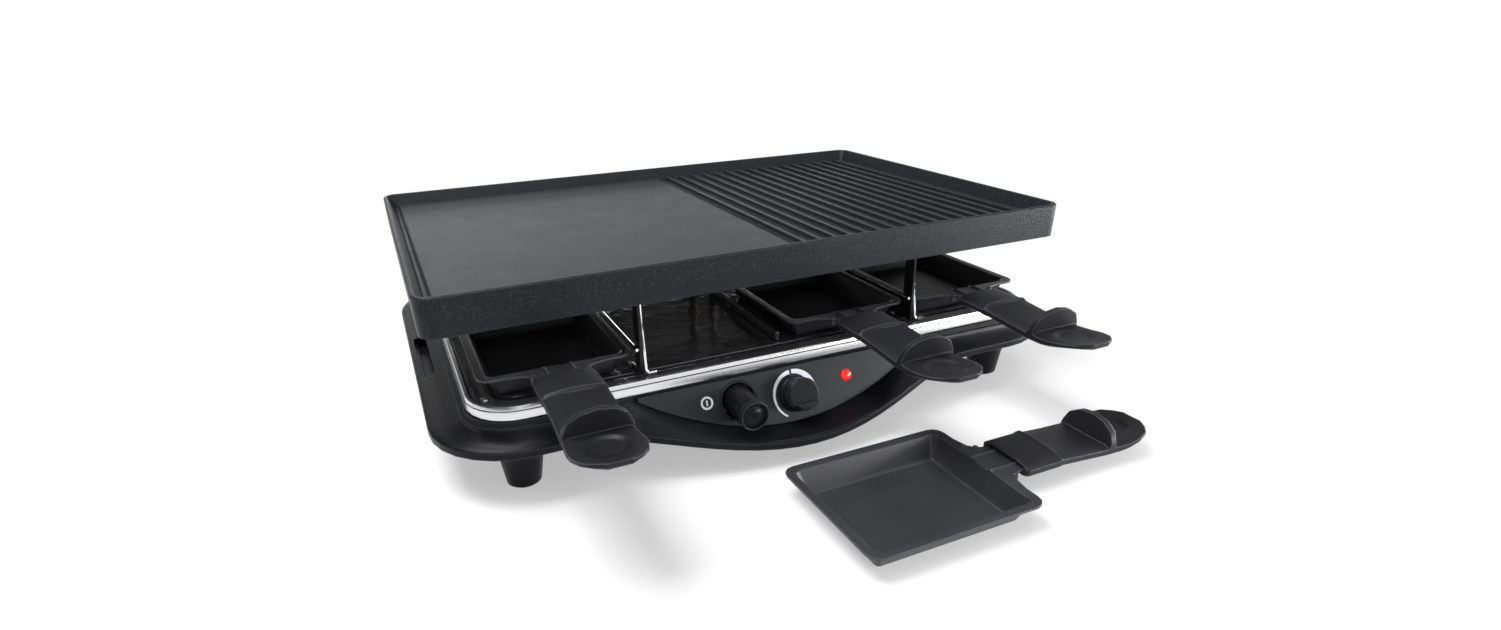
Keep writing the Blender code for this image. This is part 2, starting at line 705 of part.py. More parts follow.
def make_trim_strip(root, material):
    """Rolled strip with a bead along its top, a groove under the bead and a turned-in lower edge."""
    lean = STRIP_LEAN / (STRIP_TOP_HEIGHT - STRIP_LOW_HEIGHT)
    bead = STRIP_TOP_HEIGHT - STRIP_BEAD_HEIGHT
    groove = bead - STRIP_GROOVE_WIDTH
    turn = STRIP_LOW_HEIGHT + STRIP_TURN_HEIGHT
    section = [
        (-STRIP_TURN_DEPTH, STRIP_LOW_HEIGHT),
        (-lean * STRIP_TURN_HEIGHT, turn),
        (-lean * (groove - STRIP_LOW_HEIGHT), groove),
        (-lean * (groove - STRIP_LOW_HEIGHT) - STRIP_GROOVE_DEPTH, (groove + bead) / 2),
        (-lean * (bead - STRIP_LOW_HEIGHT), bead),
        (-STRIP_LEAN, STRIP_TOP_HEIGHT - STRIP_GROOVE_DEPTH),
        (-STRIP_LEAN - STRIP_GROOVE_DEPTH, STRIP_TOP_HEIGHT),
        (-STRIP_LEAN - STRIP_HEM_WIDTH, STRIP_TOP_HEIGHT),
        (-STRIP_LEAN - STRIP_HEM_WIDTH, STRIP_TOP_HEIGHT - STRIP_THICKNESS),
        (-STRIP_LEAN - STRIP_THICKNESS + lean * STRIP_THICKNESS, STRIP_TOP_HEIGHT - STRIP_THICKNESS),
        (-STRIP_THICKNESS, STRIP_LOW_HEIGHT),
    ]
    columns = [[in_plan(column, *point) for point in section] for column in base_columns()]
    return Shape().sweep(columns).object("trim_strip", material, root)


def tray_loop(inset, height):
    """Plan loop of the tray, so far inside the strip's lower edge."""
    radius = max(STRIP_CORNER_RADIUS - inset, TRAY_WALL_DRAFT)
    return rounded_rectangle(STRIP_HALF_LENGTH - inset, STRIP_HALF_DEPTH - inset, radius, height)


def make_pan_tray(root, material):
    ledge = collar_points()
    rim = -ledge[1][0] + SEAT_GAP
    drop = -ledge[0][0] + SEAT_GAP
    low = DECK_TOP - TRAY_CHANNEL_DEPTH
    far = drop + TRAY_WALL_DRAFT + TRAY_CHANNEL_WIDTH
    deck = far + TRAY_WALL_DRAFT
    rim_bottom = LEDGE_TOP + SEAT_GAP
    rim_top = rim_bottom + TRAY_SHEET
    loops = [
        tray_loop(deck + TRAY_SHEET, DECK_TOP),
        tray_loop(deck, DECK_TOP),
        tray_loop(far, low),
        tray_loop(drop + TRAY_WALL_DRAFT + TRAY_SHEET, low),
        tray_loop(drop + TRAY_SHEET, rim_top),
        tray_loop(rim, rim_top),
        tray_loop(rim, rim_bottom),
        tray_loop(drop, rim_bottom),
        tray_loop(drop + TRAY_WALL_DRAFT, low - TRAY_SHEET),
        tray_loop(far + TRAY_SHEET / 2, low - TRAY_SHEET),
        tray_loop(deck + TRAY_SHEET, DECK_TOP - TRAY_SHEET),
    ]
    tray = Shape().loft(loops).object("pan_tray", material, root)
    cut(tray, leg_holes("tray_leg_holes", low, root))
    return tray


def leg_holes(name, low, root):
    """Cutter for the two holes in which the heating element's legs stand."""
    holes = Shape()
    radius = ELEMENT_RADIUS + SEAT_GAP
    profile = [(radius, low), (radius, DECK_TOP + RISER_HEIGHT * 2)]
    for side in (-1, 1):
        holes.turned(profile, ROUND_STEPS, (side * LEG_OFFSET, 0.0))
    return holes.object(name, None, root)


def make_grill_plate(parent, material):
    half_x = PLATE_HALF_LENGTH
    half_y = PLATE_HALF_DEPTH

    def loop(inset, height):
        radius = max(PLATE_CORNER_RADIUS - inset, GRIDDLE_ROUND)
        return rounded_rectangle(half_x - inset, half_y - inset, radius, height)

    rim = PLATE_RIM_WIDTH
    foot_of_ledge = PLATE_RIM_WIDTH + PLATE_LEDGE_WIDTH
    top = PLATE_TOP_HEIGHT
    bottom = SKIRT_BOTTOM_HEIGHT
    inside = PLATE_SKIRT_DRAFT + PLATE_SKIRT_WALL
    plate = Shape().loft(
        [
            loop(foot_of_ledge, WELL_FLOOR),
            loop(rim, top - PLATE_RIM_ROUND),
            loop(rim - PLATE_RIM_ROUND, top),
            loop(PLATE_RIM_ROUND, top),
            loop(0.0, top - PLATE_RIM_ROUND),
            loop(PLATE_SKIRT_DRAFT, bottom),
            loop(inside, bottom),
            loop(inside, PLATE_UNDERSIDE),
        ]
    )
    item = plate.object("grill_plate", material, parent)
    cut(item, make_cooking_surfaces(parent, foot_of_ledge), "UNION")
    return item


def make_cooking_surfaces(parent, foot_of_ledge):
    """The raised griddle pad, the ribs and the feet under the plate, which are cast in one with it."""
    half_x = PLATE_HALF_LENGTH
    half_y = PLATE_HALF_DEPTH
    sunk = WELL_FLOOR - PLATE_FLOOR_THICKNESS / 2
    forms = Shape()
    left = -half_x + foot_of_ledge + GRIDDLE_GROOVE
    pad_half_x = (GRIDDLE_RIGHT_EDGE - left) / 2
    pad_half_y = half_y - foot_of_ledge - GRIDDLE_GROOVE
    centre = (GRIDDLE_RIGHT_EDGE + left) / 2
    loops = []
    for inset, height in (
        (0.0, sunk),
        (0.0, WELL_FLOOR + GRIDDLE_STEP - GRIDDLE_ROUND),
        (GRIDDLE_ROUND, WELL_FLOOR + GRIDDLE_STEP),
    ):
        pad = rounded_rectangle(pad_half_x - inset, pad_half_y - inset, GRIDDLE_GROOVE, height, 2)
        loops.append([(x + centre, y, z) for x, y, z in pad])
    forms.loft(loops)
    rib_half_length = half_y - foot_of_ledge - RIB_END_CLEARANCE
    rib_x = GRIDDLE_RIGHT_EDGE + RIB_FIRST_OFFSET
    last_x = half_x - foot_of_ledge - RIB_END_CLEARANCE
    while rib_x <= last_x:
        loops = []
        for half, end, height in (
            (RIB_WIDTH / 2, 0.0, sunk),
            (RIB_WIDTH / 2, 0.0, WELL_FLOOR),
            (RIB_CREST_WIDTH / 2, RIB_HEIGHT / 2, WELL_FLOOR + RIB_HEIGHT),
        ):
            rib = rounded_rectangle(half, rib_half_length - end, half / 2, height, 1)
            loops.append([(x + rib_x, y, z) for x, y, z in rib])
        forms.loft(loops)
        rib_x += RIB_PITCH
    for _, side_x, side_y in CORNERS:
        spot = (side_x * (half_x - PLATE_FOOT_INSET), side_y * (half_y - PLATE_FOOT_INSET))
        profile = [(PLATE_FOOT_RADIUS, FRAME_TOP + SEAT_GAP), (PLATE_FOOT_RADIUS, sunk)]
        forms.turned(profile, SMALL_STEPS, spot)
    return forms.object("cooking_surface_forms", None, parent)


def make_support_frame(root, material):
    """Sheet ring under the plate with a bridge over each pair of posts."""
    half_x = PLATE_HALF_LENGTH - PLATE_SKIRT_DRAFT - PLATE_SKIRT_WALL - FRAME_INSET
    half_y = PLATE_HALF_DEPTH - PLATE_SKIRT_DRAFT - PLATE_SKIRT_WALL - RUNNING_GAP
    bottom = SKIRT_BOTTOM_HEIGHT
    radius = PLATE_CORNER_RADIUS / 2
    ring = []
    for inset, height in ((FRAME_BAND, bottom), (FRAME_BAND, FRAME_TOP), (0.0, FRAME_TOP), (0.0, bottom)):
        ring.append(rounded_rectangle(half_x - inset, half_y - inset, radius, height, SMALL_CORNER_STEPS))
    item = Shape().loft(ring, ring=True).object("support_frame", material, root, smooth=False)
    bridges = Shape()
    reach = half_y - FRAME_BAND / 2
    for x in (-PAN_PITCH, PAN_PITCH):
        low = (x - FRAME_BRIDGE_WIDTH / 2, -reach, bottom)
        bridges.block(low, (x + FRAME_BRIDGE_WIDTH / 2, reach, FRAME_TOP))
    cut(item, bridges.object("support_frame_bridges", None, root), "UNION")
    return item


def rounded_path(corners, radii, steps=BEND_STEPS):
    """The corners of a path, with an arc of its own radius in place of each inner one."""
    path = [Vector(corners[0])]
    for before, corner, after, radius in zip(corners, corners[1:], corners[2:], radii):
        corner = Vector(corner)
        back = (Vector(before) - corner).normalized()
        ahead = (Vector(after) - corner).normalized()
        half_angle = back.angle(ahead) / 2
        centre = corner + (back + ahead).normalized() * radius / math.sin(half_angle)
        start = corner + back * radius / math.tan(half_angle) - centre
        axis = back.cross(ahead)
        turn = math.pi - 2 * half_angle
        for step in range(steps + 1):
            path.append(centre + Matrix.Rotation(-turn * step / steps, 3, axis) @ start)
    path.append(Vector(corners[-1]))
    return path


def make_post(name, side_x, side_y, root, material):
    """Sheet blade that stands on the deck by a foot that points to the middle."""
    x = side_x * PAN_PITCH
    near = side_y * (POST_FRONT_LINE - POST_DEPTH)
    far = side_y * POST_FRONT_LINE
    bottom = DECK_TOP + SEAT_GAP
    blade = Shape()
    half = POST_THICKNESS / 2
    foot_end = near - side_y * POST_FOOT_LENGTH
    outline = [
        (far, POST_TOP),
        (far, TRAY_TOP + SEAT_GAP),
        (near, TRAY_TOP + SEAT_GAP),
        (near, bottom),
        (foot_end, bottom),
        (foot_end, bottom + POST_THICKNESS),
        (near, bottom + POST_THICKNESS * 2),
        (near, POST_TOP),
    ]
    blade.loft([[(x + offset, y, z) for y, z in outline] for offset in (-half, half)])
    return blade.object(name, material, root, smooth=False)


def make_brace(name, side_x, side_y, root, material):
    """Chrome wire beside a post, leaning inwards to the top, with its lower end bent out along the tray."""
    x = side_x * PAN_PITCH + POST_THICKNESS / 2 + SEAT_GAP + WIRE_RADIUS
    front = side_y * (POST_FRONT_LINE + WIRE_RADIUS)
    back = front - side_y * BRACE_LEAN
    low = TRAY_TOP + SEAT_GAP + WIRE_RADIUS
    corners = [
        (x + BRACE_FOOT_LENGTH, front, low),
        (x, front, low),
        (x, back, POST_TOP - WIRE_RADIUS),
    ]
    path = rounded_path(corners, [WIRE_RADIUS * 2])
    return Shape().tube(path, WIRE_RADIUS).object(name, material, root)


def make_guide_wire(name, side_x, root, material):
    x = side_x * PAN_PITCH - POST_THICKNESS / 2 - SEAT_GAP - WIRE_RADIUS
    end = POST_FRONT_LINE - WIRE_RADIUS
    path = [(x, -end, GUIDE_HEIGHT), (x, end, GUIDE_HEIGHT)]
    return Shape().tube(path, WIRE_RADIUS).object(name, material, root)


def make_heating_element(root, material):
    """One tube whose two legs rise from the terminals and which winds over both rows of pans."""
    inner_y = ELEMENT_SPAN_Y / 2
    inner_x = ELEMENT_SPAN_X - 2 * ELEMENT_BEND_RADIUS
    foot = COVER_TOP_HEIGHT + SEAT_GAP + TERMINAL_HEIGHT + SEAT_GAP
    flat = [
        (-LEG_OFFSET, 0.0),
        (-ELEMENT_SPAN_X, 0.0),
        (-ELEMENT_SPAN_X, ELEMENT_SPAN_Y),
        (ELEMENT_SPAN_X, ELEMENT_SPAN_Y),
        (ELEMENT_SPAN_X, -ELEMENT_SPAN_Y),
        (-ELEMENT_SPAN_X, -ELEMENT_SPAN_Y),
        (-ELEMENT_SPAN_X, -inner_y),
        (inner_x, -inner_y),
        (inner_x, 0.0),
        (LEG_OFFSET, 0.0),
    ]
    corners = [(-LEG_OFFSET, 0.0, foot)]
    corners.extend((x, y, ELEMENT_AXIS) for x, y in flat)
    corners.append((LEG_OFFSET, 0.0, foot))
    radii = [ELEMENT_BEND_RADIUS] * len(flat)
    radii[0] = radii[-1] = LEG_BEND_RADIUS
    path = rounded_path(corners, radii)
    return Shape().tube(path, ELEMENT_RADIUS).object("heating_element", material, root)


def make_riser(root, material):
    """Low plate on the tray's deck, which the legs of the heating element pass."""
    half = RISER_WIDTH / 2
    depth = RISER_DEPTH / 2
    low = DECK_TOP + SEAT_GAP
    plate = Shape().block((-half, -depth, low), (half, depth, low + RISER_HEIGHT), RISER_ROUND)
    item = plate.object("lead_riser", material, root)
    cut(item, leg_holes("riser_leg_holes", low - CUT_OVERRUN, root))
    return item


def make_slot_rail(name, side, root, material):
    """Low rail on the deck between the middle pair of slots."""
    bottom = DECK_TOP + SEAT_GAP
    ends = sorted((side * RAIL_START, side * RAIL_END))
    low = (-RAIL_WIDTH / 2, ends[0], bottom)
    high = (RAIL_WIDTH / 2, ends[1], bottom + RAIL_HEIGHT)
    return Shape().block(low, high, RAIL_ROUND).object(name, material, root)


def make_control_panel(panel_frame, material):
    """Lens-shaped plate. Its top edge is straight, and its lower edge follows the shell's scoop."""
    outline = [(x, -panel_slant(x)) for x in panel_stations()]
    outline.extend([(panel_end(), -PANEL_TOP_MARGIN), (-panel_end(), -PANEL_TOP_MARGIN)])
    levels = ((0.0, -PANEL_THICKNESS), (0.0, -PANEL_EDGE_ROUND), (PANEL_EDGE_ROUND, 0.0))
    loops = [inset_outline(outline, inset, height) for inset, height in levels]
    return Shape().loft(loops).object("control_panel", material, panel_frame)


def inset_outline(outline, inset, height):
    """Moves each point of a counter-clockwise outline inwards by the inset, along its mitre."""
    moved = []
    for i, point in enumerate(outline):
        before = (Vector(point) - Vector(outline[i - 1])).normalized()
        after = (Vector(outline[(i + 1) % len(outline)]) - Vector(point)).normalized()
        mitre = Vector((-before.y - after.y, before.x + after.x)).normalized()
        across = Vector((-before.y, before.x)).dot(mitre)
        spot = Vector(point) + mitre * inset / across
        moved.append((spot.x, spot.y, height))
    return moved


def control_holes(name, panel_frame, root):
    """Holes for the button's bezel, the thermostat's shaft and the lamp, as one cutter."""
    depth = SKIN + CUT_OVERRUN * 2
    holes = Shape()
    for x, line, radius in (
        (BUTTON_X, BUTTON_LINE, BEZEL_RADIUS + SEAT_GAP),
        (KNOB_X, KNOB_LINE, SHAFT_RADIUS + RUNNING_GAP),
        (LAMP_X, LAMP_LINE, LAMP_RADIUS + SEAT_GAP),
    ):
        loops = []
        for height in (-depth, CUT_OVERRUN):
            ring = circle(radius, height, ROUND_STEPS, (x, -line))
            loops.append([panel_frame.matrix_local @ Vector(point) for point in ring])
        holes.loft(loops)
    return holes.object(name, None, root)


def make_button_bezel(panel_frame, material):
    """Ring let into the panel, with room in it for the button, which lies level."""
    bottom = -PANEL_THICKNESS
    section = [
        (BEZEL_RADIUS, bottom),
        (BEZEL_RADIUS, BEZEL_RISE / 2),
        (BEZEL_RADIUS - BEZEL_RISE / 2, BEZEL_RISE),
        (BEZEL_BORE, BEZEL_RISE),
        (BEZEL_BORE, bottom),
    ]
    centre = (BUTTON_X, -BUTTON_LINE)
    loops = [circle(radius, height, FINE_STEPS, centre) for radius, height in section]
    return Shape().loft(loops, ring=True).object("button_bezel", material, panel_frame)


def switch_front():
    """How far behind the button's origin the switch starts, so that its top clears the shell."""
    reach, height = slope_point(BUTTON_LINE, 0.0)
    return reach - skin_reach(height + BUTTON_RADIUS + RUNNING_GAP + SWITCH_WALL)


def make_push_button(button_body, material):
    """Round button with a low dome in its sunken face, and the ring round that face."""
    reach = BUTTON_REACH
    radius = BUTTON_RADIUS
    seat = reach - BUTTON_DISH_DEPTH - BUTTON_RIM_WIDTH
    inner = radius - BUTTON_RIM_WIDTH
    floor = reach - BUTTON_DISH_DEPTH
    crown = BUTTON_CROWN_RADIUS
    profile = [
        (radius, -switch_front() - BUTTON_ENGAGEMENT),
        (radius, seat),
        (inner, seat),
        (inner, floor),
        (crown, floor),
        *[(crown * share, floor + BUTTON_CROWN_RISE * rise) for share, rise in CROWN_SHARES],
    ]
    Shape().turned(profile, FINE_STEPS).object("push_button", material, button_body)
    bore = inner + SEAT_GAP
    edge = BUTTON_RIM_ROUND
    section = [
        (radius, seat + SEAT_GAP),
        (radius, reach - edge),
        (radius - edge, reach),
        (bore + edge, reach),
        (bore, reach - edge),
        (bore, seat + SEAT_GAP),
    ]
    loops = [circle(ring_radius, height, FINE_STEPS) for ring_radius, height in section]
    Shape().loft(loops, ring=True).object("button_rim", material, button_body)


def make_switch_body(button_frame, material):
    """Round housing, whose bore takes the button's tail and its travel."""
    front = -switch_front()
    bore = BUTTON_RADIUS + RUNNING_GAP
    outer = bore + SWITCH_WALL
    bottom = front - BUTTON_ENGAGEMENT - BUTTON_TRAVEL - RUNNING_GAP
    profile = [
        (bore, bottom),
        (bore, front),
        (outer, front),
        (outer, bottom - SWITCH_WALL),
    ]
    return Shape().turned(profile, ROUND_STEPS).object("switch_body", material, button_frame)


def make_knob(knob_body, material):
    """Knob with a skirt and a finger bar across its face, and a blind bore for the shaft."""
    foot = RUNNING_GAP
    top = KNOB_BODY_HEIGHT
    bore = SHAFT_RADIUS + SEAT_GAP
    edge = KNOB_EDGE_ROUND
    profile = [
        (bore, foot + SHAFT_ENGAGEMENT + SEAT_GAP),
        (bore, foot),
        (KNOB_SKIRT_RADIUS, foot),
        (KNOB_SKIRT_RADIUS, foot + KNOB_SKIRT_HEIGHT - edge),
        (KNOB_RADIUS, foot + KNOB_SKIRT_HEIGHT),
        (KNOB_RADIUS, top - edge),
        (KNOB_RADIUS - edge, top),
    ]
    item = Shape().turned(profile, FINE_STEPS).object("thermostat_knob", material, knob_body)
    low = -KNOB_GRIP_OFFSET - KNOB_GRIP_WIDTH / 2
    high = low + KNOB_GRIP_WIDTH
    levels = ((edge, top - edge), (edge, top + KNOB_GRIP_RISE - edge), (edge * 2, top + KNOB_GRIP_RISE))
    loops = []
    for inset, height in levels:
        radius = KNOB_RADIUS - inset
        loops.append(chord_band(radius, low + inset / 2, high - inset / 2, height))
    cut(item, Shape().loft(loops).object("knob_grip_form", None, knob_body), "UNION")
    return item


def chord_band(radius, low, high, height):
    """The band of a circle between two levels in Y."""
    points = []
    for first, last, side in ((low, high, 1), (high, low, -1)):
        start = math.asin(first / radius)
        end = math.asin(last / radius)
        for step in range(SMALL_CORNER_STEPS + 1):
            angle = start + (end - start) * step / SMALL_CORNER_STEPS
            points.append((side * radius * math.cos(angle), radius * math.sin(angle), height))
    return points


def make_thermostat(knob_body, panel_frame, shaft_material, body_material):
    body_top = -SKIN - SEAT_GAP
    profile = [(SHAFT_RADIUS, body_top + SEAT_GAP), (SHAFT_RADIUS, RUNNING_GAP + SHAFT_ENGAGEMENT)]
    Shape().turned(profile, SMALL_STEPS).object("thermostat_shaft", shaft_material, knob_body)
    half = THERMOSTAT_WIDTH / 2
    tall = THERMOSTAT_HEIGHT / 2
    body = Shape().block(
        (KNOB_X - half, -KNOB_LINE - tall, body_top - THERMOSTAT_DEPTH),
        (KNOB_X + half, -KNOB_LINE + tall, body_top),
        HOUSING_ROUND,
    )
    body.object("thermostat_body", body_material, panel_frame)


def make_indicator(panel_frame, lens_material, body_material):
    spot = (LAMP_X, -LAMP_LINE)
    radius = LAMP_RADIUS
    profile = [
        (radius, -LAMP_TAIL),
        (radius, LAMP_DOME / 2),
        (radius - LAMP_DOME / 2, LAMP_DOME),
        (LAMP_DOME, LAMP_DOME + LAMP_DOME / 2),
    ]
    Shape().turned(profile, ROUND_STEPS, spot).object("indicator_lens", lens_material, panel_frame)
    top = -LAMP_TAIL - SEAT_GAP
    profile = [(LAMP_BODY_RADIUS, top - LAMP_BODY_LENGTH), (LAMP_BODY_RADIUS, top)]
    Shape().turned(profile, SMALL_STEPS, spot).object("indicator_body", body_material, panel_frame)


def neck_row(side, lift, straight):
    """Front points of one half of the pan, (x on the wall, x on the neck, reach of the neck, lift)."""
    row = []
    extra = NECK_SHOULDER - NECK_HALF_WIDTH
    rib, wide = NECK_RIB_OFFSET, NECK_RIB_WIDTH
    span = min(NECK_SHOULDER, straight) - rib - wide * 2
    walls = [rib + wide * 2 + span * share for share in WALL_SHARES]
    for (width_share, reach_share), wall in zip(SHOULDER_SHARES, walls):
        row.append((wall, NECK_HALF_WIDTH + extra * width_share, NECK_SHOULDER_REACH * reach_share, 0.0))
    row.append((walls[-1], NECK_HALF_WIDTH, NECK_REACH, 0.0))
    for offset, rise in ((wide, 0.0), (0.0, lift), (-wide, 0.0)):
        row.append((rib + offset, rib + offset, NECK_REACH, rise))
    row = [(side * wall, side * x, reach, rise) for wall, x, reach, rise in row]
    return row if side < 0 else list(reversed(row))


def pan_outline(inset, height, lift=0.0, neck=False):
    """Loop of the pan at an inset from its flange's edge, which may run out round the neck."""
    half_x = PAN_WIDTH / 2 - inset
    half_y = PAN_LENGTH / 2 - inset
    radius = max(PAN_CORNER_RADIUS - inset / 2, PAN_FLOOR_RADIUS)
    points = rounded_rectangle(half_x, half_y, radius, height, SMALL_CORNER_STEPS)
    straight = PAN_WIDTH / 2 - PAN_FLANGE_WIDTH - PAN_WALL_TAPER - PAN_CORNER_RADIUS
    for wall, x, reach, rise in neck_row(-1, lift, straight) + neck_row(1, lift, straight):
        points.append((x if neck else wall, -half_y - (reach if neck else 0.0), height + rise))
    return points


def make_pan_shape():
    """Pressed pan with a flange and a neck that two ribs stiffen."""
    top = PAN_DEPTH
    sheet = PAN_SHEET
    flange = PAN_FLANGE_WIDTH
    foot = flange + PAN_WALL_TAPER
    rib = NECK_RIB_HEIGHT
    return Shape().loft(
        [
            pan_outline(foot + PAN_FLOOR_RADIUS + sheet, sheet),
            pan_outline(foot + sheet, sheet + PAN_FLOOR_RADIUS),
            pan_outline(flange + sheet, top - sheet / 2, rib),
            pan_outline(flange, top, rib),
            pan_outline(0.0, top, rib, neck=True),
            pan_outline(0.0, top - sheet, rib, neck=True),
            pan_outline(flange, top - sheet, rib),
            pan_outline(foot, PAN_FLOOR_RADIUS),
            pan_outline(foot + PAN_FLOOR_RADIUS, 0.0),
        ]
    )


def handle_section(reach, half, bottom, top, dish=0.0, moon=0.0, drop_share=SHOULDER_DROP_SHARE):
    """Closed section of the handle, across its top and back across its bottom."""
    section = []
    front = -PAN_LENGTH / 2 - reach
    for share in ACROSS_SHARES:
        drop = (top - bottom) * drop_share if abs(share) == 1.0 else 0.0
        arch = math.sqrt(max(0.0, 1.0 - (share * MOON_WIDTH_SHARE) ** 2))
        height = top - drop - dish * (1.0 - share * share) + moon * arch
        lean = HANDLE_STOP_LEAN * moon * arch / HANDLE_STOP_HEIGHT
        section.append((half * share, front - lean, height))
    for share in reversed(ACROSS_SHARES):
        drop = (top - bottom) * drop_share if abs(share) == 1.0 else 0.0
        section.append((half * share, front, bottom + drop))
    return section


def make_handle_shape():
    """Moulded handle: a slot for the neck, a cross ridge, a half-moon thumb stop and a dished tip."""
    neck_low = PAN_DEPTH - PAN_SHEET - SEAT_GAP
    neck_high = PAN_DEPTH + NECK_RIB_HEIGHT + SEAT_GAP
    slot = NECK_HALF_WIDTH + SEAT_GAP
    wide = HANDLE_HALF_WIDTH
    crown = HANDLE_CROWN
    ridge = HANDLE_RIDGE_WIDTH
    root = HANDLE_STOP_ROOT
    stop = HANDLE_STOP_AT
    top = PAN_DEPTH + HANDLE_THICKNESS * NECK_DEPTH_SHARE - crown
    low = top + crown - HANDLE_THICKNESS
    sag_top = top - HANDLE_SAG
    sag_low = low - HANDLE_SAG
    early = HANDLE_SAG * EARLY_SAG_SHARE
    middle = (HANDLE_RIDGE_AT + stop) / 2
    spoon = stop + HANDLE_STOP_THICKNESS + root
    loops = [
        handle_section(NECK_REACH + SEAT_GAP, slot, neck_low, neck_high, drop_share=0.0),
        handle_section(HANDLE_START, slot, neck_low, neck_high, drop_share=0.0),
        handle_section(HANDLE_START, wide - root, low + root / 2, top - root / 2, -crown),
        handle_section(HANDLE_START + root, wide, low, top, -crown),
        handle_section(HANDLE_RIDGE_AT - ridge, wide, low, top, -crown),
        handle_section(HANDLE_RIDGE_AT, wide, low, top + HANDLE_RIDGE_HEIGHT, -crown),
        handle_section(HANDLE_RIDGE_AT + ridge, wide - root / 2, low, top, -crown / 2),
        handle_section(middle, wide - root / 2, low - early, top - early),
        handle_section(stop - root, wide, sag_low, sag_top),
        handle_section(stop, wide, sag_low, sag_top, moon=HANDLE_STOP_HEIGHT),
        handle_section(stop + HANDLE_STOP_THICKNESS, wide, sag_low, sag_top, moon=HANDLE_STOP_HEIGHT),
        handle_section(spoon, wide, sag_low, sag_top),
    ]
    length = HANDLE_END - spoon
    slimming = HANDLE_THICKNESS - HANDLE_TIP_THICKNESS
    for along_share, width_share, dish_share in SPOON_SHARES:
        rise = HANDLE_SAG * ease(along_share)
        thinner = slimming * ease(along_share)
        loops.append(
            handle_section(
                spoon + length * along_share,
                wide * width_share,
                sag_low + rise + thinner,
                sag_top + rise,
                HANDLE_DISH * dish_share,
            )
        )
    return Shape().loft(loops)


def make_pans(root, pan_material, handle_material):
    """Three pans in their slots, and one that stands loose in front with its handle to the right."""
    pan_mesh = make_pan_shape().object("pan_mesh_source", pan_material)
    handle_mesh = make_handle_shape().object("handle_mesh_source", handle_material)
    spots = {
        "slot_1": ((-PAN_PITCH - PAN_PITCH / 2, PAN_CENTRE_Y, PAN_BASE), 0.0),
        "slot_3": ((PAN_PITCH / 2, PAN_CENTRE_Y, PAN_BASE), 0.0),
        "slot_4": ((PAN_PITCH + PAN_PITCH / 2, PAN_CENTRE_Y, PAN_BASE), 0.0),
        "loose": ((LOOSE_PAN_X, LOOSE_PAN_Y, 0.0), math.pi / 2),
    }
    for key, (location, turn) in spots.items():
        carrier = empty("pan_body_" + key, location, (0.0, 0.0, turn), root)
        place("pan_" + key, pan_mesh.data, carrier)
        place("pan_handle_" + key, handle_mesh.data, carrier)
    bpy.data.objects.remove(pan_mesh, do_unlink=True)
    bpy.data.objects.remove(handle_mesh, do_unlink=True)


def make_bottom_cover(root, material):
    """Flat cover with a low rim, bosses up to the shell's ledge and a belly under the controls."""
    half_x = COVER_HALF_LENGTH
    half_y = COVER_HALF_DEPTH
    radius = COVER_CORNER_RADIUS
    top = COVER_TOP_HEIGHT
    bottom = top - COVER_SHEET
    rim = top + COVER_RIM_HEIGHT
    wall = COVER_SHEET
    plate = Shape().loft(
        [
            rounded_rectangle(half_x - wall, half_y - wall, radius - wall, bottom),
            rounded_rectangle(half_x, half_y, radius, bottom + wall / 2),
            rounded_rectangle(half_x, half_y, radius, rim),
            rounded_rectangle(half_x - wall, half_y - wall, radius - wall, rim),
            rounded_rectangle(half_x - wall, half_y - wall, radius - wall, top),
        ]
    )
    item = plate.object("bottom_cover", material, root)
    added = Shape()
    added.loft([belly_loop(0.0, bottom - BELLY_DROP), belly_loop(0.0, top - COVER_SHEET / 2)])
    band = collar_points()
    arm = (STRIP_CORNER_RADIUS + (band[0][0] + band[1][0]) / 2) / math.sqrt(2)
    boss_x = STRIP_HALF_LENGTH - STRIP_CORNER_RADIUS + arm
    boss_y = STRIP_HALF_DEPTH - STRIP_CORNER_RADIUS + arm
    boss_top = LEDGE_TOP - BASE_WALL - SEAT_GAP
    for _, side_x, side_y in CORNERS:
        profile = [(COVER_BOSS_RADIUS, top - COVER_SHEET / 2), (COVER_BOSS_RADIUS, boss_top)]
        added.turned(profile, SMALL_STEPS, (side_x * boss_x, side_y * boss_y))
    cut(item, added.object("cover_added_forms", None, root), "UNION")
    holes = Shape()
    floor = bottom - BELLY_DROP + COVER_SHEET
    open_from = floor + BELLY_FRONT_WALL_HEIGHT
    open_front = COVER_SHEET * 2
    holes.loft(
        [
            belly_loop(COVER_SHEET, floor),
            belly_loop(COVER_SHEET, open_from),
            belly_loop(COVER_SHEET, open_from + COVER_SHEET, open_front),
            belly_loop(COVER_SHEET, rim + CUT_OVERRUN, open_front),
        ]
    )
    bore = GLAND_RADIUS + SEAT_GAP
    profile = [(bore, bottom - CUT_OVERRUN), (bore, top + CUT_OVERRUN)]
    holes.turned(profile, ROUND_STEPS, (GLAND_X, GLAND_Y))
    cut(item, holes.object("cover_holes", None, root))
    return item


def belly_loop(inset, height, extra_front=0.0):
    """Plan loop of the belly, or of its hollow with an inset. Its front lies behind the panel."""
    share = (COVER_TOP_HEIGHT - height) / (COVER_SHEET + BELLY_DROP)
    taper = BELLY_SIDE_TAPER * min(max(share, 0.0), 1.0)
    half_x = BELLY_HALF_WIDTH - taper - inset
    front = -STRIP_HALF_DEPTH - skin_reach(min(height, COVER_TOP_HEIGHT)) + inset - extra_front
    back = BELLY_DEPTH - COVER_HALF_DEPTH - taper - inset
    middle = (front + back) / 2
    radius = BELLY_SIDE_TAPER / 2
    loop = rounded_rectangle(half_x, (back - front) / 2, radius, height, SMALL_CORNER_STEPS)
    return [(x + PANEL_CENTRE_X, y + middle, z) for x, y, z in loop]


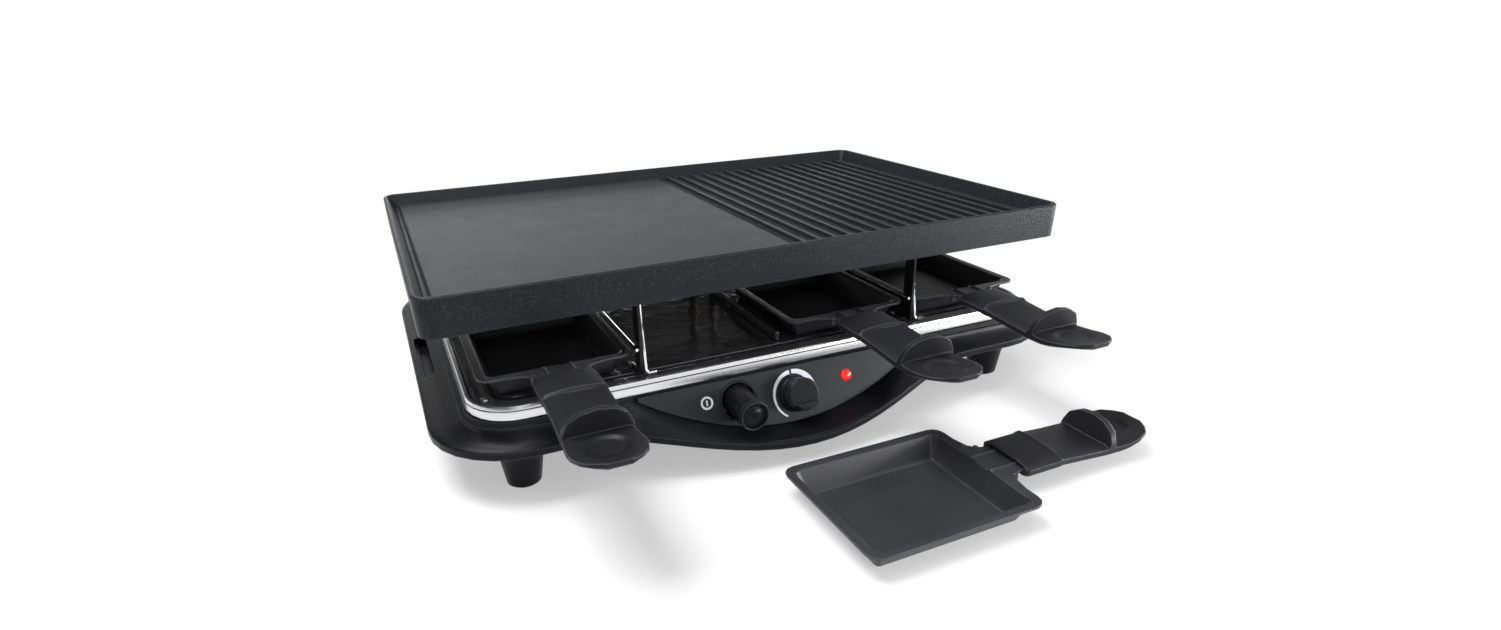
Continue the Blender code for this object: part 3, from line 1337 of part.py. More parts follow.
def make_foot(tail, spot, root, foot_material, pad_material):
    """Foot that flares at the top, with a rubber pad let into its tip."""
    top = COVER_TOP_HEIGHT - COVER_SHEET - SEAT_GAP
    tip = PAD_HEIGHT - PAD_RECESS
    bore = PAD_RADIUS + SEAT_GAP
    neck = (FOOT_NECK_RADIUS, top - FOOT_FLARE_HEIGHT)
    flare = along(neck, (FOOT_TOP_RADIUS, top), FOOT_FLARE_SHARES)
    profile = [
        (bore, PAD_HEIGHT + SEAT_GAP),
        (bore, tip),
        (FOOT_TIP_RADIUS, tip),
        neck,
        flare,
        (FOOT_TOP_RADIUS, top - COVER_SHEET / 2),
        (FOOT_TOP_RADIUS, top),
    ]
    Shape().turned(profile, ROUND_STEPS, spot).object("foot_" + tail, foot_material, root)
    profile = [(PAD_RADIUS, 0.0), (PAD_RADIUS, PAD_HEIGHT)]
    Shape().turned(profile, ROUND_STEPS, spot).object("foot_pad_" + tail, pad_material, root)


def make_inner_parts(root, block_material, gland_material):
    low = COVER_TOP_HEIGHT + SEAT_GAP
    half = TERMINAL_LENGTH / 2
    deep = TERMINAL_DEPTH / 2
    block = Shape().block((-half, -deep, low), (half, deep, low + TERMINAL_HEIGHT), HOUSING_ROUND)
    block.object("terminal_block", block_material, root)
    bottom = COVER_TOP_HEIGHT - COVER_SHEET
    flange = GLAND_RADIUS + GLAND_FLANGE
    section = [
        (flange, bottom - SEAT_GAP),
        (GLAND_RADIUS, bottom - SEAT_GAP),
        (GLAND_RADIUS, COVER_TOP_HEIGHT + GLAND_FLANGE),
        (GLAND_BORE_RADIUS, COVER_TOP_HEIGHT + GLAND_FLANGE),
        (GLAND_BORE_RADIUS, bottom - SEAT_GAP - GLAND_FLANGE),
        (flange - GLAND_FLANGE / 2, bottom - SEAT_GAP - GLAND_FLANGE),
    ]
    loops = [circle(radius, height, ROUND_STEPS, (GLAND_X, GLAND_Y)) for radius, height in section]
    Shape().loft(loops, ring=True).object("cord_gland", gland_material, root)


def centre_on_origin(root):
    """Moves the model so that the origin is under the middle of its box, on the table."""
    bpy.context.view_layer.update()
    graph = bpy.context.evaluated_depsgraph_get()
    low = Vector((math.inf, math.inf, math.inf))
    high = -low
    for item in bpy.data.objects:
        if item.type == "EMPTY" or item.hide_render:
            continue
        evaluated = item.evaluated_get(graph)
        mesh = evaluated.to_mesh()
        for vertex in mesh.vertices:
            spot = evaluated.matrix_world @ vertex.co
            low = Vector(map(min, low, spot))
            high = Vector(map(max, high, spot))
        evaluated.to_mesh_clear()
    middle = (low + high) / 2
    root.location = (-middle.x, -middle.y, -low.z)
    bpy.context.view_layer.update()


def main():
    clear_scene()
    cast = finish("cast_aluminium_coated")
    plastic = finish("black_plastic")
    panel_grey = finish("panel_plastic")
    steel = finish("brushed_steel")
    chrome = finish("chrome_wire")
    enamel = finish("black_enamel")
    pressed = finish("black_coated_sheet")
    nonstick = finish("non_stick_coating")
    heat = finish("element_sheath")
    rubber = finish("rubber")
    lens = finish("red_lens")
    housing = finish("housing_plastic")

    root = empty("grill_origin")
    reach, height = slope_point(0.0, 0.0)
    panel_frame = empty(
        "panel_frame",
        (PANEL_CENTRE_X, -STRIP_HALF_DEPTH - reach, height),
        (PANEL_LEAN, 0.0, 0.0),
        root,
    )
    reach, height = slope_point(BUTTON_LINE, 0.0)
    button_frame = empty(
        "button_frame",
        (PANEL_CENTRE_X + BUTTON_X, -STRIP_HALF_DEPTH - reach, height),
        (math.pi / 2, 0.0, 0.0),
        root,
    )
    button_body = empty("button_body", parent=button_frame)
    knob_body = empty("knob_body", (KNOB_X, -KNOB_LINE, 0.0), parent=panel_frame)
    plate_body = empty("plate_body", parent=root)
    bpy.context.view_layer.update()

    shell = make_base_shell(root, plastic)
    panel = make_control_panel(panel_frame, panel_grey)
    holes = control_holes("control_hole_cutter", panel_frame, root)
    cut(shell, holes)
    cut(panel, holes)
    make_trim_strip(root, steel)
    make_pan_tray(root, enamel)
    make_grill_plate(plate_body, cast)
    make_support_frame(root, pressed)
    for tail, side_x, side_y in CORNERS:
        make_post("post_" + tail, side_x, side_y, root, pressed)
        make_brace("brace_" + tail, side_x, side_y, root, chrome)
    make_guide_wire("guide_wire_left", -1, root, chrome)
    make_guide_wire("guide_wire_right", 1, root, chrome)
    make_heating_element(root, heat)
    make_riser(root, pressed)
    make_slot_rail("slot_rail_front", -1, root, enamel)
    make_slot_rail("slot_rail_rear", 1, root, enamel)
    make_button_bezel(panel_frame, plastic)
    make_push_button(button_body, plastic)
    make_switch_body(button_frame, housing)
    make_knob(knob_body, plastic)
    make_thermostat(knob_body, panel_frame, steel, housing)
    make_indicator(panel_frame, lens, housing)
    make_pans(root, nonstick, plastic)
    make_bottom_cover(root, plastic)
    for tail, side_x, side_y in CORNERS:
        make_foot(tail, (side_x * FOOT_X, side_y * FOOT_Y), root, plastic, rubber)
    make_inner_parts(root, housing, plastic)
    centre_on_origin(root)


main()
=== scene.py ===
"""Looks of the raclette grill: materials, printed marks, fasteners, camera, light and floor."""

import json
import math

import bmesh
import bpy
from mathutils import Matrix, Vector

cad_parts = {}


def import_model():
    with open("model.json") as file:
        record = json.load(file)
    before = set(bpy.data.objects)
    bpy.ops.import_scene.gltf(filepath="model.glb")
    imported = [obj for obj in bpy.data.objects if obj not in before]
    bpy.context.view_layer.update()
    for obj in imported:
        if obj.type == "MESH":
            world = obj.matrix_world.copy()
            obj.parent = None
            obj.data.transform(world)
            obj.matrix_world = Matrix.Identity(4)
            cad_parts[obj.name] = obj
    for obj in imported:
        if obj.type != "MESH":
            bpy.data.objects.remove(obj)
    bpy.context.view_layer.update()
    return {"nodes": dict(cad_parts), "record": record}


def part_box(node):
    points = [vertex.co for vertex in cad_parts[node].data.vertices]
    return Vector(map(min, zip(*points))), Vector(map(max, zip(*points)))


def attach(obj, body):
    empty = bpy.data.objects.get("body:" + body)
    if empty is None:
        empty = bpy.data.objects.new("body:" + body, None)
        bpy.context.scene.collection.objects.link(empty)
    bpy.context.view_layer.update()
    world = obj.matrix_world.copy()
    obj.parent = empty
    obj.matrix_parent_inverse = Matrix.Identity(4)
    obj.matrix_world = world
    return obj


# Lengths are in metres, in the frame of the CAD
MM = 0.001
FULL_TURN = 2 * math.pi

# Camera, fitted to the photograph
PHOTO_WIDTH, PHOTO_HEIGHT = 1501, 630
CAMERA_PLACE = Vector((-0.219, -0.4504, 0.244))
CAMERA_AZIMUTH = math.radians(23.65)
CAMERA_DIP = math.radians(21.98)
CAMERA_ROLL = math.radians(-1.3)
FOCAL_PIXELS = 778.6
CENTRE_PIXEL = (712.4, 329.2)
CLIP_START, CLIP_END = 0.01, 20.0

# The angle from which an edge is shaded as sharp, and how near points are joined for shading
SMOOTH_ANGLE = math.radians(38.0)
WELD_REACH = 0.01 * MM

# Signs of x and y at each corner of the grill
CORNERS = {
    "front_left": (-1, -1),
    "front_right": (1, -1),
    "rear_left": (-1, 1),
    "rear_right": (1, 1),
}

# The body of each pan, by the end of its handle's name
PAN_BODIES = {"slot_1": "pan_1", "slot_3": "pan_3", "slot_4": "pan_4", "loose": "loose_pan"}

# The control panel's face, as the CAD has it, and two spots on it
PANEL_ORIGIN = Vector((-0.005, -0.0757, 0.0469))
PANEL_LEAN = math.radians(68.0)
KNOB_SPOT = (0.001, -0.0183)
SYMBOL_SPOT = (-0.0564, -0.0123)

# Printed arcs: centre, outer radius, start and end in degrees, inner radius at both, steps
INK_RISE = 0.06 * MM
PRINTED_ARCS = {
    "dial_arc_low": (KNOB_SPOT, 15.0 * MM, 240.0, 97.0, 14.0 * MM, 12.5 * MM, 28),
    "dial_arc_high": (KNOB_SPOT, 15.0 * MM, 91.0, 3.0, 12.4 * MM, 10.9 * MM, 20),
    "power_ring": (SYMBOL_SPOT, 3.9 * MM, 0.0, 360.0, 2.7 * MM, 2.7 * MM, 32),
}

# The upright mark in the ring: shares of its half height and half width, row by row
MARK_HALF_WIDTH, MARK_HALF_HEIGHT = 0.5 * MM, 1.7 * MM
MARK_ROWS = ((-1.0, 0.5), (-0.9, 1.0), (0.9, 1.0), (1.0, 0.5))

# Head of a screw: shares of its radius and height, row by row
SCREW_RADIUS, SCREW_HEIGHT, SCREW_SIDES = 1.9 * MM, 1.1 * MM, 24
SCREW_ROWS = ((1.0, 0.0), (1.0, 0.45), (0.88, 0.80), (0.62, 1.0))

# Its cross recess: a star of 16 points, with its reach in and between the arms and the size of
# its floor as shares
RECESS_DEPTH, RECESS_POINTS = 0.7 * MM, 16
ARM_REACH, WAIST_REACH, RECESS_FLOOR = 0.50, 0.17, 0.8

# Places of the screws: from a post's inner face, below the tray's top, and in from its edges
POST_SCREW_GAP, POST_SCREW_DROP = 2.4 * MM, 1.0 * MM
TRAY_SCREW_INSET = (5.6 * MM, 15.0 * MM)
SCREW_SINK = 0.1 * MM

# Screws of the bottom cover, clear of its feet, cord insert and belly, and its flat underside
COVER_UNDERSIDE = 0.0270
COVER_SCREWS = (
    (-0.060, 0.195),
    (0.060, 0.195),
    (-0.196, 0.066),
    (0.196, 0.066),
    (-0.125, -0.060),
    (0.125, -0.060),
)

# Pins beside a pan's neck: shares of the radius with heights, row by row, and their place by the
# handle's root
PIN_RADIUS, PIN_SIDES = 1.6 * MM, 20
PIN_ROWS = ((0.85, 0.0), (1.0, 0.25 * MM), (1.0, 4.4 * MM), (0.8, 4.8 * MM), (0.4, 5.0 * MM))
PIN_OFFSET, PIN_GAP, PIN_FOOT = 15.3 * MM, 7.0 * MM, 2.6 * MM

# The round bowl in the tip of each handle
BOWL_FLAT, BOWL_RADIUS, BOWL_DEPTH = 7.0 * MM, 12.5 * MM, 1.8 * MM
BOWL_FROM_TIP, BOWL_HEIGHT = 18.2 * MM, 5.9 * MM

# Painted shade in the groove under the bead of the trim strip: the groove's depth below the strip's
# top and the shade's half width
STRIP_GROOVE_DROP, STRIP_GROOVE_SHADE_REACH = 2.5 * MM, 0.5 * MM

# How far a moulded or coated face strays from its tint and its roughness
TINT_RANGE, GLOSS_RANGE = 0.12, 0.025

# How closely a rounded normal has to follow the face's to count as on an edge or off it, where
# edges get painted highlights
ON_EDGE, OFF_EDGE = 0.86, 0.985

# Lamps: name, place, aim, width and height, watts
MIDDLE = (0.0, 0.0, 0.08)
LAMPS = (
    ("key light", (-0.6, 0.10, 1.5), MIDDLE, (0.7, 0.7), 24.0),
    ("front light", (-0.1, -0.5, 1.5), MIDDLE, (0.7, 0.6), 3.5),
    ("right light", (0.95, -0.48, 0.09), (0.2, -0.05, 0.10), (1.1, 0.16), 15.0),
    ("rear light", (0.4, 1.6, 0.25), MIDDLE, (1.4, 0.2), 2.0),
)

# The world's strength on the object. Mirrored rays find it darker to the left, and to the right
# where they go behind the grill, by the x and y of their direction
WORLD_STRENGTH = 0.5
LEFT_FLAG = {"low": 0.08, "high": 1.0, "start": -0.45, "end": 0.02}
RIGHT_FLAG = {"low": 1.0, "high": 0.45, "start": 0.04, "end": 0.32}
BEHIND = {"low": 0.0, "high": 1.0, "start": 0.0, "end": 0.25}

# The floor, and its share of plain white by the distance from the middle
FLOOR_HALF_WIDTH, FLOOR_DROP, FLOOR_TONE = 9.0, 0.2 * MM, 0.88
FLOOR_WHITE = {"low": 0.42, "high": 1.0, "start": 0.20, "end": 0.46}


# ---- node graphs


class Graph:
    """The nodes of a material or of the world, with short ways to add more."""

    def __init__(self, owner):
        owner.use_nodes = True
        self.nodes = owner.node_tree.nodes
        self.links = owner.node_tree.links

    def fill(self, inputs, values):
        """Links inputs to outputs, or sets them to plain values."""
        for key, value in values.items():
            if isinstance(value, bpy.types.NodeSocket):
                self.links.new(value, inputs[key])
            else:
                inputs[key].default_value = value

    def add(self, kind, output, inputs, **settings):
        """One output of a new node with these settings and inputs."""
        node = self.nodes.new("ShaderNode" + kind)
        for name, value in settings.items():
            setattr(node, name, value)
        self.fill(node.inputs, inputs)
        return node.outputs[output]

    def maths(self, operation, first, second):
        """The result of an operation on two values."""
        return self.add("Math", "Value", {0: first, 1: second}, operation=operation)

    def measure(self, operation, *vectors):
        """The value that an operation finds in one or two vectors."""
        return self.add("VectorMath", "Value", dict(enumerate(vectors)), operation=operation)

    def axes(self, vector):
        """The x, y and z of a vector."""
        node = self.nodes.new("ShaderNodeSeparateXYZ")
        self.fill(node.inputs, {"Vector": vector})
        return node.outputs

    def spread(self, source, low, high, start=0.0, end=1.0, curve="LINEAR"):
        """Maps a value from one range onto another."""
        inputs = {
            "Value": source,
            "From Min": start,
            "From Max": end,
            "To Min": low,
            "To Max": high,
        }
        return self.add("MapRange", "Result", inputs, interpolation_type=curve)

    def ramp(self, source, stops):
        """Colour ramp through (position, colour) stops."""
        node = self.nodes.new("ShaderNodeValToRGB")
        elements = node.color_ramp.elements
        while len(elements) < len(stops):
            elements.new(0.5)
        for element, (position, colour) in zip(elements, stops):
            element.position = position
            element.color = (*colour, 1.0)
        self.fill(node.inputs, {"Fac": source})
        return node.outputs["Color"]

    def blend(self, share, low, high):
        """Mixes two values by a share."""
        return self.add("Mix", "Result", {"Factor": share, "A": low, "B": high})

    def blend_colours(self, share, low, high, way="MIX"):
        """Mixes two colours by a share."""
        inputs = {"Factor": share, "A": low, "B": high}
        return self.add("Mix", "Result", inputs, data_type="RGBA", blend_type=way)

    def ray_kinds(self):
        """1 for rays from gloss and through glass, and 1 for rays from the camera."""
        path = self.nodes.new("ShaderNodeLightPath").outputs
        mirrored = self.maths("MAXIMUM", path["Is Glossy Ray"], path["Is Transmission Ray"])
        return mirrored, path["Is Camera Ray"]


class Look(Graph):
    """A new material round a Principled shader. Its place is the point's object coordinates."""

    def __init__(self, name):
        self.material = bpy.data.materials.new(name)
        super().__init__(self.material)
        self.shader = self.nodes["Principled BSDF"]
        self.place = self.add("TexCoord", "Object", {})

    def noise(self, scale, detail=3.0, roughness=0.5, stretch=None):
        """Noise of so many waves a metre, or stretched by a scale for each axis."""
        vector = self.place
        if stretch:
            vector = self.add("Mapping", "Vector", {"Vector": vector, "Scale": stretch})
        inputs = {"Vector": vector, "Scale": scale, "Detail": detail, "Roughness": roughness}
        return self.add("TexNoise", "Fac", inputs)

    def soft_edges(self, radius):
        """Normals that round each sharp edge a little, as moulding and coating do."""
        return self.add("Bevel", "Normal", {"Radius": radius}, samples=4)

    def painted_edge_highlights(self, tint, rounded, colour):
        """The tint, with a paler colour painted where the rounded normals lean off the face's:
        painted highlights along the edges.
        """
        face = self.add("NewGeometry", "Normal", {})
        likeness = self.measure("DOT_PRODUCT", rounded, face)
        share = self.spread(likeness, 1.0, 0.0, ON_EDGE, OFF_EDGE)
        return self.blend_colours(share, tint, (*colour, 1.0))

    def bump(self, height, depth, strength=1.0, before=None):
        """Normals of a relief, over other normals if there are any."""
        inputs = {"Height": height, "Distance": depth, "Strength": strength}
        if before:
            inputs["Normal"] = before
        return self.add("Bump", "Normal", inputs)

    def bowls(self, centres, before):
        """Normals of shallow round bowls about these centres, as the handles' thumb rests have."""
        nearest = None
        for centre in centres:
            distance = self.measure("DISTANCE", self.place, centre)
            nearest = self.maths("MINIMUM", nearest, distance) if nearest else distance
        height = self.spread(nearest, 0.0, 1.0, BOWL_FLAT, BOWL_RADIUS, curve="SMOOTHSTEP")
        return self.bump(height, BOWL_DEPTH, before=before)

    def finish(self, values):
        """Fills the shader's inputs and gives back the material."""
        self.fill(self.shader.inputs, values)
        return self.material


# ---- materials


def scaled(colour, factor):
    """A colour with each part times a factor."""
    return tuple(part * factor for part in colour)


def grained(
    name,
    colour,
    roughness,
    grain_scale,
    grain_depth,
    specular=0.3,
    edge_radius=0.4 * MM,
    edge_highlight_gain=2.5,
    bowl_centres=(),
):
    """Moulded plastic or coated metal: a fine grain, mottling, uneven gloss and painted highlights
    on the edges.
    """
    look = Look(name)
    stops = [
        (0.3, scaled(colour, 1.0 - TINT_RANGE)),
        (0.7, scaled(colour, 1.0 + TINT_RANGE)),
    ]
    tint = look.ramp(look.noise(scale=35.0, detail=4.0), stops)
    gloss = look.noise(scale=60.0, detail=5.0, roughness=0.6)
    grain = look.noise(scale=grain_scale, detail=2.0, roughness=0.6)
    rounded = look.soft_edges(edge_radius)
    formed = look.bowls(bowl_centres, rounded) if bowl_centres else rounded
    return look.finish({
        # Painted highlights: the edges are painted paler, the tint times the gain
        "Base Color": look.painted_edge_highlights(tint, rounded, scaled(colour, edge_highlight_gain)),
        "Roughness": look.spread(gloss, roughness - GLOSS_RANGE, roughness + GLOSS_RANGE),
        "Specular IOR Level": specular,
        "Normal": look.bump(grain, grain_depth, before=formed),
    })


def coated_casting():
    """Die casting under a grained coat with fine bright specks, and painted highlights on its
    edges.
    """
    look = Look("coated casting")
    specks = look.noise(scale=1400.0, detail=1.0)
    dark, middle, bright = (0.006, 0.007, 0.010), (0.011, 0.013, 0.018), (0.044, 0.050, 0.062)
    tint = look.ramp(specks, [(0.35, dark), (0.62, middle), (0.74, bright)])
    gloss = look.noise(scale=45.0, detail=4.0, roughness=0.6)
    grain = look.noise(scale=900.0, detail=3.0, roughness=0.6)
    rounded = look.soft_edges(0.7 * MM)
    return look.finish({
        # Painted highlights: the edges are painted in a paler colour
        "Base Color": look.painted_edge_highlights(tint, rounded, (0.050, 0.054, 0.062)),
        "Roughness": look.spread(gloss, 0.34, 0.46),
        "Specular IOR Level": 0.20,
        "Normal": look.bump(grain, 0.16 * MM, before=rounded),
    })


def brushed_steel():
    """Bright steel with lines along its length, and shade painted dark in the groove under the
    strip's bead.
    """
    look = Look("brushed steel")
    lines = look.noise(scale=1.0, detail=2.0, roughness=0.6, stretch=(3.0, 3.0, 1300.0))
    tint = look.ramp(lines, [(0.3, (0.66, 0.66, 0.67)), (0.7, (0.74, 0.74, 0.75))])
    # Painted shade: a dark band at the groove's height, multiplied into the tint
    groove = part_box("trim_strip")[1][2] - STRIP_GROOVE_DROP
    height = look.axes(look.place)["Z"]
    below, above = groove - STRIP_GROOVE_SHADE_REACH, groove + STRIP_GROOVE_SHADE_REACH
    across = look.spread(height, 0.0, 1.0, below, above)
    bare, groove_shade = (1.0, 1.0, 1.0), (0.10, 0.10, 0.11)
    shadow = look.ramp(across, [(0.05, bare), (0.30, groove_shade), (0.70, groove_shade), (0.95, bare)])
    return look.finish({
        "Base Color": look.blend_colours(1.0, tint, shadow, "MULTIPLY"),
        "Metallic": 1.0,
        "Roughness": look.spread(lines, 0.23, 0.27),
        "Normal": look.bump(lines, 0.01 * MM, 0.3, look.soft_edges(0.2 * MM)),
    })


def chrome():
    """Bright plated wire with faint marks."""
    look = Look("chrome")
    marks = look.noise(scale=220.0, detail=4.0)
    return look.finish({
        "Base Color": look.ramp(marks, [(0.4, (0.78, 0.78, 0.80)), (0.6, (0.88, 0.88, 0.90))]),
        "Metallic": 1.0,
        "Roughness": look.spread(marks, 0.05, 0.14),
        "Normal": look.soft_edges(0.2 * MM),
    })


def enamel():
    """Glossy black enamel, with the slow waves that such a coat has."""
    look = Look("black enamel")
    specks = look.noise(scale=900.0, detail=2.0)
    stops = [(0.35, (0.034, 0.034, 0.037)), (0.75, (0.060, 0.060, 0.065))]
    waves = look.noise(scale=95.0)
    wavy = look.bump(waves, 0.9 * MM, 0.5, look.soft_edges(0.8 * MM))
    return look.finish({
        "Base Color": look.ramp(specks, stops),
        "Roughness": 0.16,
        "Normal": wavy,
        "Coat Weight": 1.0,
        "Coat IOR": 2.2,
        "Coat Roughness": 0.03,
        "Coat Normal": wavy,
    })


def sheath():
    """Dull metal tube, browned by heat in bands."""
    look = Look("element sheath")
    bands = look.noise(scale=45.0, detail=5.0)
    dark, middle, pale = (0.040, 0.037, 0.034), (0.075, 0.068, 0.062), (0.11, 0.092, 0.078)
    return look.finish({
        "Base Color": look.ramp(bands, [(0.3, dark), (0.55, middle), (0.8, pale)]),
        "Metallic": 0.7,
        "Roughness": look.spread(bands, 0.3, 0.5),
        "Normal": look.bump(look.noise(scale=1500.0), 0.03 * MM),
    })


def lens():
    """Red plastic that glows a little."""
    look = Look("red lens")
    cells = look.noise(scale=500.0, detail=2.0)
    return look.finish({
        "Base Color": look.ramp(cells, [(0.3, (0.62, 0.010, 0.008)), (0.7, (0.88, 0.030, 0.018))]),
        "Roughness": 0.16,
        "Coat Weight": 0.2,
        "Emission Color": (1.0, 0.03, 0.015, 1.0),
        "Emission Strength": 0.5,
    })


def ink():
    """Pale print with a faint unevenness."""
    look = Look("print")
    wide = look.noise(scale=700.0)
    return look.finish({
        "Base Color": look.ramp(wide, [(0.3, (0.66, 0.70, 0.74)), (0.7, (0.78, 0.82, 0.86))]),
        "Roughness": 0.45,
    })


def screw_steel():
    """Plain steel of the screws, a little uneven."""
    look = Look("screw steel")
    marks = look.noise(scale=1600.0)
    return look.finish({
        "Base Color": look.ramp(marks, [(0.35, (0.45, 0.45, 0.46)), (0.65, (0.66, 0.66, 0.68))]),
        "Metallic": 1.0,
        "Roughness": look.spread(marks, 0.2, 0.4),
    })


def make_materials():
    """One material for each slot of the record, and more for the handles, print and screws."""
    # Each gain sets how much paler a material's edges are painted, as painted highlights
    return {
        "cast_aluminium_coated": coated_casting(),
        "black_plastic": grained(
            "black plastic",
            colour=(0.0060, 0.0062, 0.0075),
            roughness=0.33,
            grain_scale=2600.0,
            grain_depth=0.03 * MM,
            specular=0.13,
            edge_radius=1.0 * MM,
            edge_highlight_gain=9.0,
        ),
        "handle_plastic": grained(
            "handle plastic",
            colour=(0.0130, 0.0132, 0.0155),
            roughness=0.42,
            grain_scale=2200.0,
            grain_depth=0.04 * MM,
            specular=0.20,
            edge_radius=1.0 * MM,
            edge_highlight_gain=7.0,
            bowl_centres=find_bowls(),
        ),
        "panel_plastic": grained(
            "panel plastic",
            colour=(0.017, 0.018, 0.021),
            roughness=0.38,
            grain_scale=2600.0,
            grain_depth=0.03 * MM,
            specular=0.20,
            edge_radius=0.3 * MM,
        ),
        "black_coated_sheet": grained(
            "black coated sheet",
            colour=(0.008, 0.008, 0.009),
            roughness=0.30,
            grain_scale=1800.0,
            grain_depth=0.03 * MM,
            specular=0.25,
            edge_radius=0.2 * MM,
        ),
        "non_stick_coating": grained(
            "non-stick coating",
            colour=(0.029, 0.0295, 0.0340),
            roughness=0.34,
            grain_scale=1500.0,
            grain_depth=0.05 * MM,
            specular=0.50,
            edge_radius=0.8 * MM,
            edge_highlight_gain=4.0,
        ),
        "rubber": grained(
            "rubber",
            colour=(0.02, 0.02, 0.02),
            roughness=0.75,
            grain_scale=1200.0,
            grain_depth=0.06 * MM,
        ),
        "housing_plastic": grained(
            "housing plastic",
            colour=(0.62, 0.60, 0.55),
            roughness=0.5,
            grain_scale=1500.0,
            grain_depth=0.04 * MM,
        ),
        "brushed_steel": brushed_steel(),
        "chrome_wire": chrome(),
        "black_enamel": enamel(),
        "element_sheath": sheath(),
        "red_lens": lens(),
        "ink": ink(),
        "screw": screw_steel(),
    }


# ---- CAD nodes


def smooth_node(item):
    """Shades a CAD mesh smoothly over its curves, with crisp edges, and leaves its points alone."""
    mesh = item.data
    for name in ("custom_normal", "sharp_edge", "sharp_face"):
        if name in mesh.attributes:
            mesh.attributes.remove(mesh.attributes[name])
    mesh.polygons.foreach_set("use_smooth", [True] * len(mesh.polygons))
    weld = item.modifiers.new("join facets", "WELD")
    weld.merge_threshold = WELD_REACH
    split = item.modifiers.new("crisp edges", "EDGE_SPLIT")
    split.split_angle = SMOOTH_ANGLE
    split.use_edge_sharp = False
    weighted = item.modifiers.new("flat faces", "WEIGHTED_NORMAL")
    weighted.keep_sharp = True


def dress_nodes(frame, materials):
    """Gives each CAD node its material, in place of the plain one that it comes with."""
    slots = {part["node"]: part["material_slot"] for part in frame["record"]["subparts"]}
    for name, item in frame["nodes"].items():
        item.data.materials.clear()
        kind = "handle_plastic" if name.startswith("pan_handle") else slots[name]
        item.data.materials.append(materials[kind])
        smooth_node(item)


def handle_ends(tail):
    """A handle's root and tip at the height of its underside, and the ways outward and across.

    The loose pan's handle points to the right and the others point to the front.
    """
    low, high = (Vector(corner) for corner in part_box("pan_handle_" + tail))
    middle = (low + high) / 2
    if tail == "loose":
        root, tip = (Vector((x, middle.y, low.z)) for x in (low.x, high.x))
        return root, tip, Vector((1.0, 0.0, 0.0)), Vector((0.0, 1.0, 0.0))
    root, tip = (Vector((middle.x, y, low.z)) for y in (high.y, low.y))
    return root, tip, Vector((0.0, -1.0, 0.0)), Vector((1.0, 0.0, 0.0))


def find_bowls():
    """The middle of the round bowl in each handle's tip."""
    rise = Vector((0.0, 0.0, BOWL_HEIGHT))
    centres = []
    for tail in PAN_BODIES:
        _, tip, outward, _ = handle_ends(tail)
        centres.append(tip - outward * BOWL_FROM_TIP + rise)
    return centres


# ---- pieces of the looks


def piece(name, points, faces, material, body, matrix):
    """A mesh piece that rides on a body."""
    mesh = bpy.data.meshes.new(name)
    mesh.from_pydata(points, [], faces)
    work = bmesh.new()
    work.from_mesh(mesh)
    bmesh.ops.recalc_face_normals(work, faces=work.faces)
    work.to_mesh(mesh)
    work.free()
    mesh.transform(matrix)
    mesh.shade_smooth()
    mesh.set_sharp_from_angle(angle=SMOOTH_ANGLE)
    mesh.materials.append(material)
    item = bpy.data.objects.new(name, mesh)
    bpy.context.scene.collection.objects.link(item)
    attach(item, body)


def band(stations):
    """Thin raised band through (inner point, outer point) stations in a plane, with its sides."""
    points = []
    faces = []
    for inner, outer in stations:
        points.extend([(*inner, 0.0), (*inner, INK_RISE), (*outer, INK_RISE), (*outer, 0.0)])
    for i in range(len(stations) - 1):
        a, b = 4 * i, 4 * (i + 1)
        for j in range(4):
            k = (j + 1) % 4
            faces.append((a + j, a + k, b + k, b + j))
    faces.append((0, 1, 2, 3))
    last = 4 * (len(stations) - 1)
    faces.append((last + 3, last + 2, last + 1, last))
    return points, faces


def arc_band(centre, outer, start, end, inner_at_start, inner_at_end, steps):
    """Band round a centre between two angles in degrees, whose width changes evenly."""
    stations = []
    for step in range(steps + 1):
        share = step / steps
        angle = math.radians(start + (end - start) * share)
        inner = inner_at_start + (inner_at_end - inner_at_start) * share
        across = (math.cos(angle), math.sin(angle))
        near = (centre[0] + inner * across[0], centre[1] + inner * across[1])
        far = (centre[0] + outer * across[0], centre[1] + outer * across[1])
        stations.append((near, far))
    return band(stations)


def make_prints(materials):
    """The temperature arc round the knob, thin to thick, and the symbol beside the button."""
    prints = {name: arc_band(*arc) for name, arc in PRINTED_ARCS.items()}
    x, y = SYMBOL_SPOT
    stations = []
    for level, share in MARK_ROWS:
        wide, tall = MARK_HALF_WIDTH * share, MARK_HALF_HEIGHT * level
        stations.append(((x - wide, y + tall), (x + wide, y + tall)))
    prints["power_mark"] = band(stations)
    place = Matrix.Translation(PANEL_ORIGIN) @ Matrix.Rotation(PANEL_LEAN, 4, "X")
    for name, (points, faces) in prints.items():
        piece(name, points, faces, materials["ink"], "base", place)


def rings(rows, sides):
    """Rings of points through (radius, height) rows, joined, with the lowest one closed."""
    points, faces = [], []
    for radius, height in rows:
        for i in range(sides):
            angle = FULL_TURN * i / sides
            points.append((radius * math.cos(angle), radius * math.sin(angle), height))
    for row in range(len(rows) - 1):
        a, b = row * sides, (row + 1) * sides
        for i in range(sides):
            j = (i + 1) % sides
            faces.append((a + i, a + j, b + j, b + i))
    faces.append(tuple(reversed(range(sides))))
    return points, faces


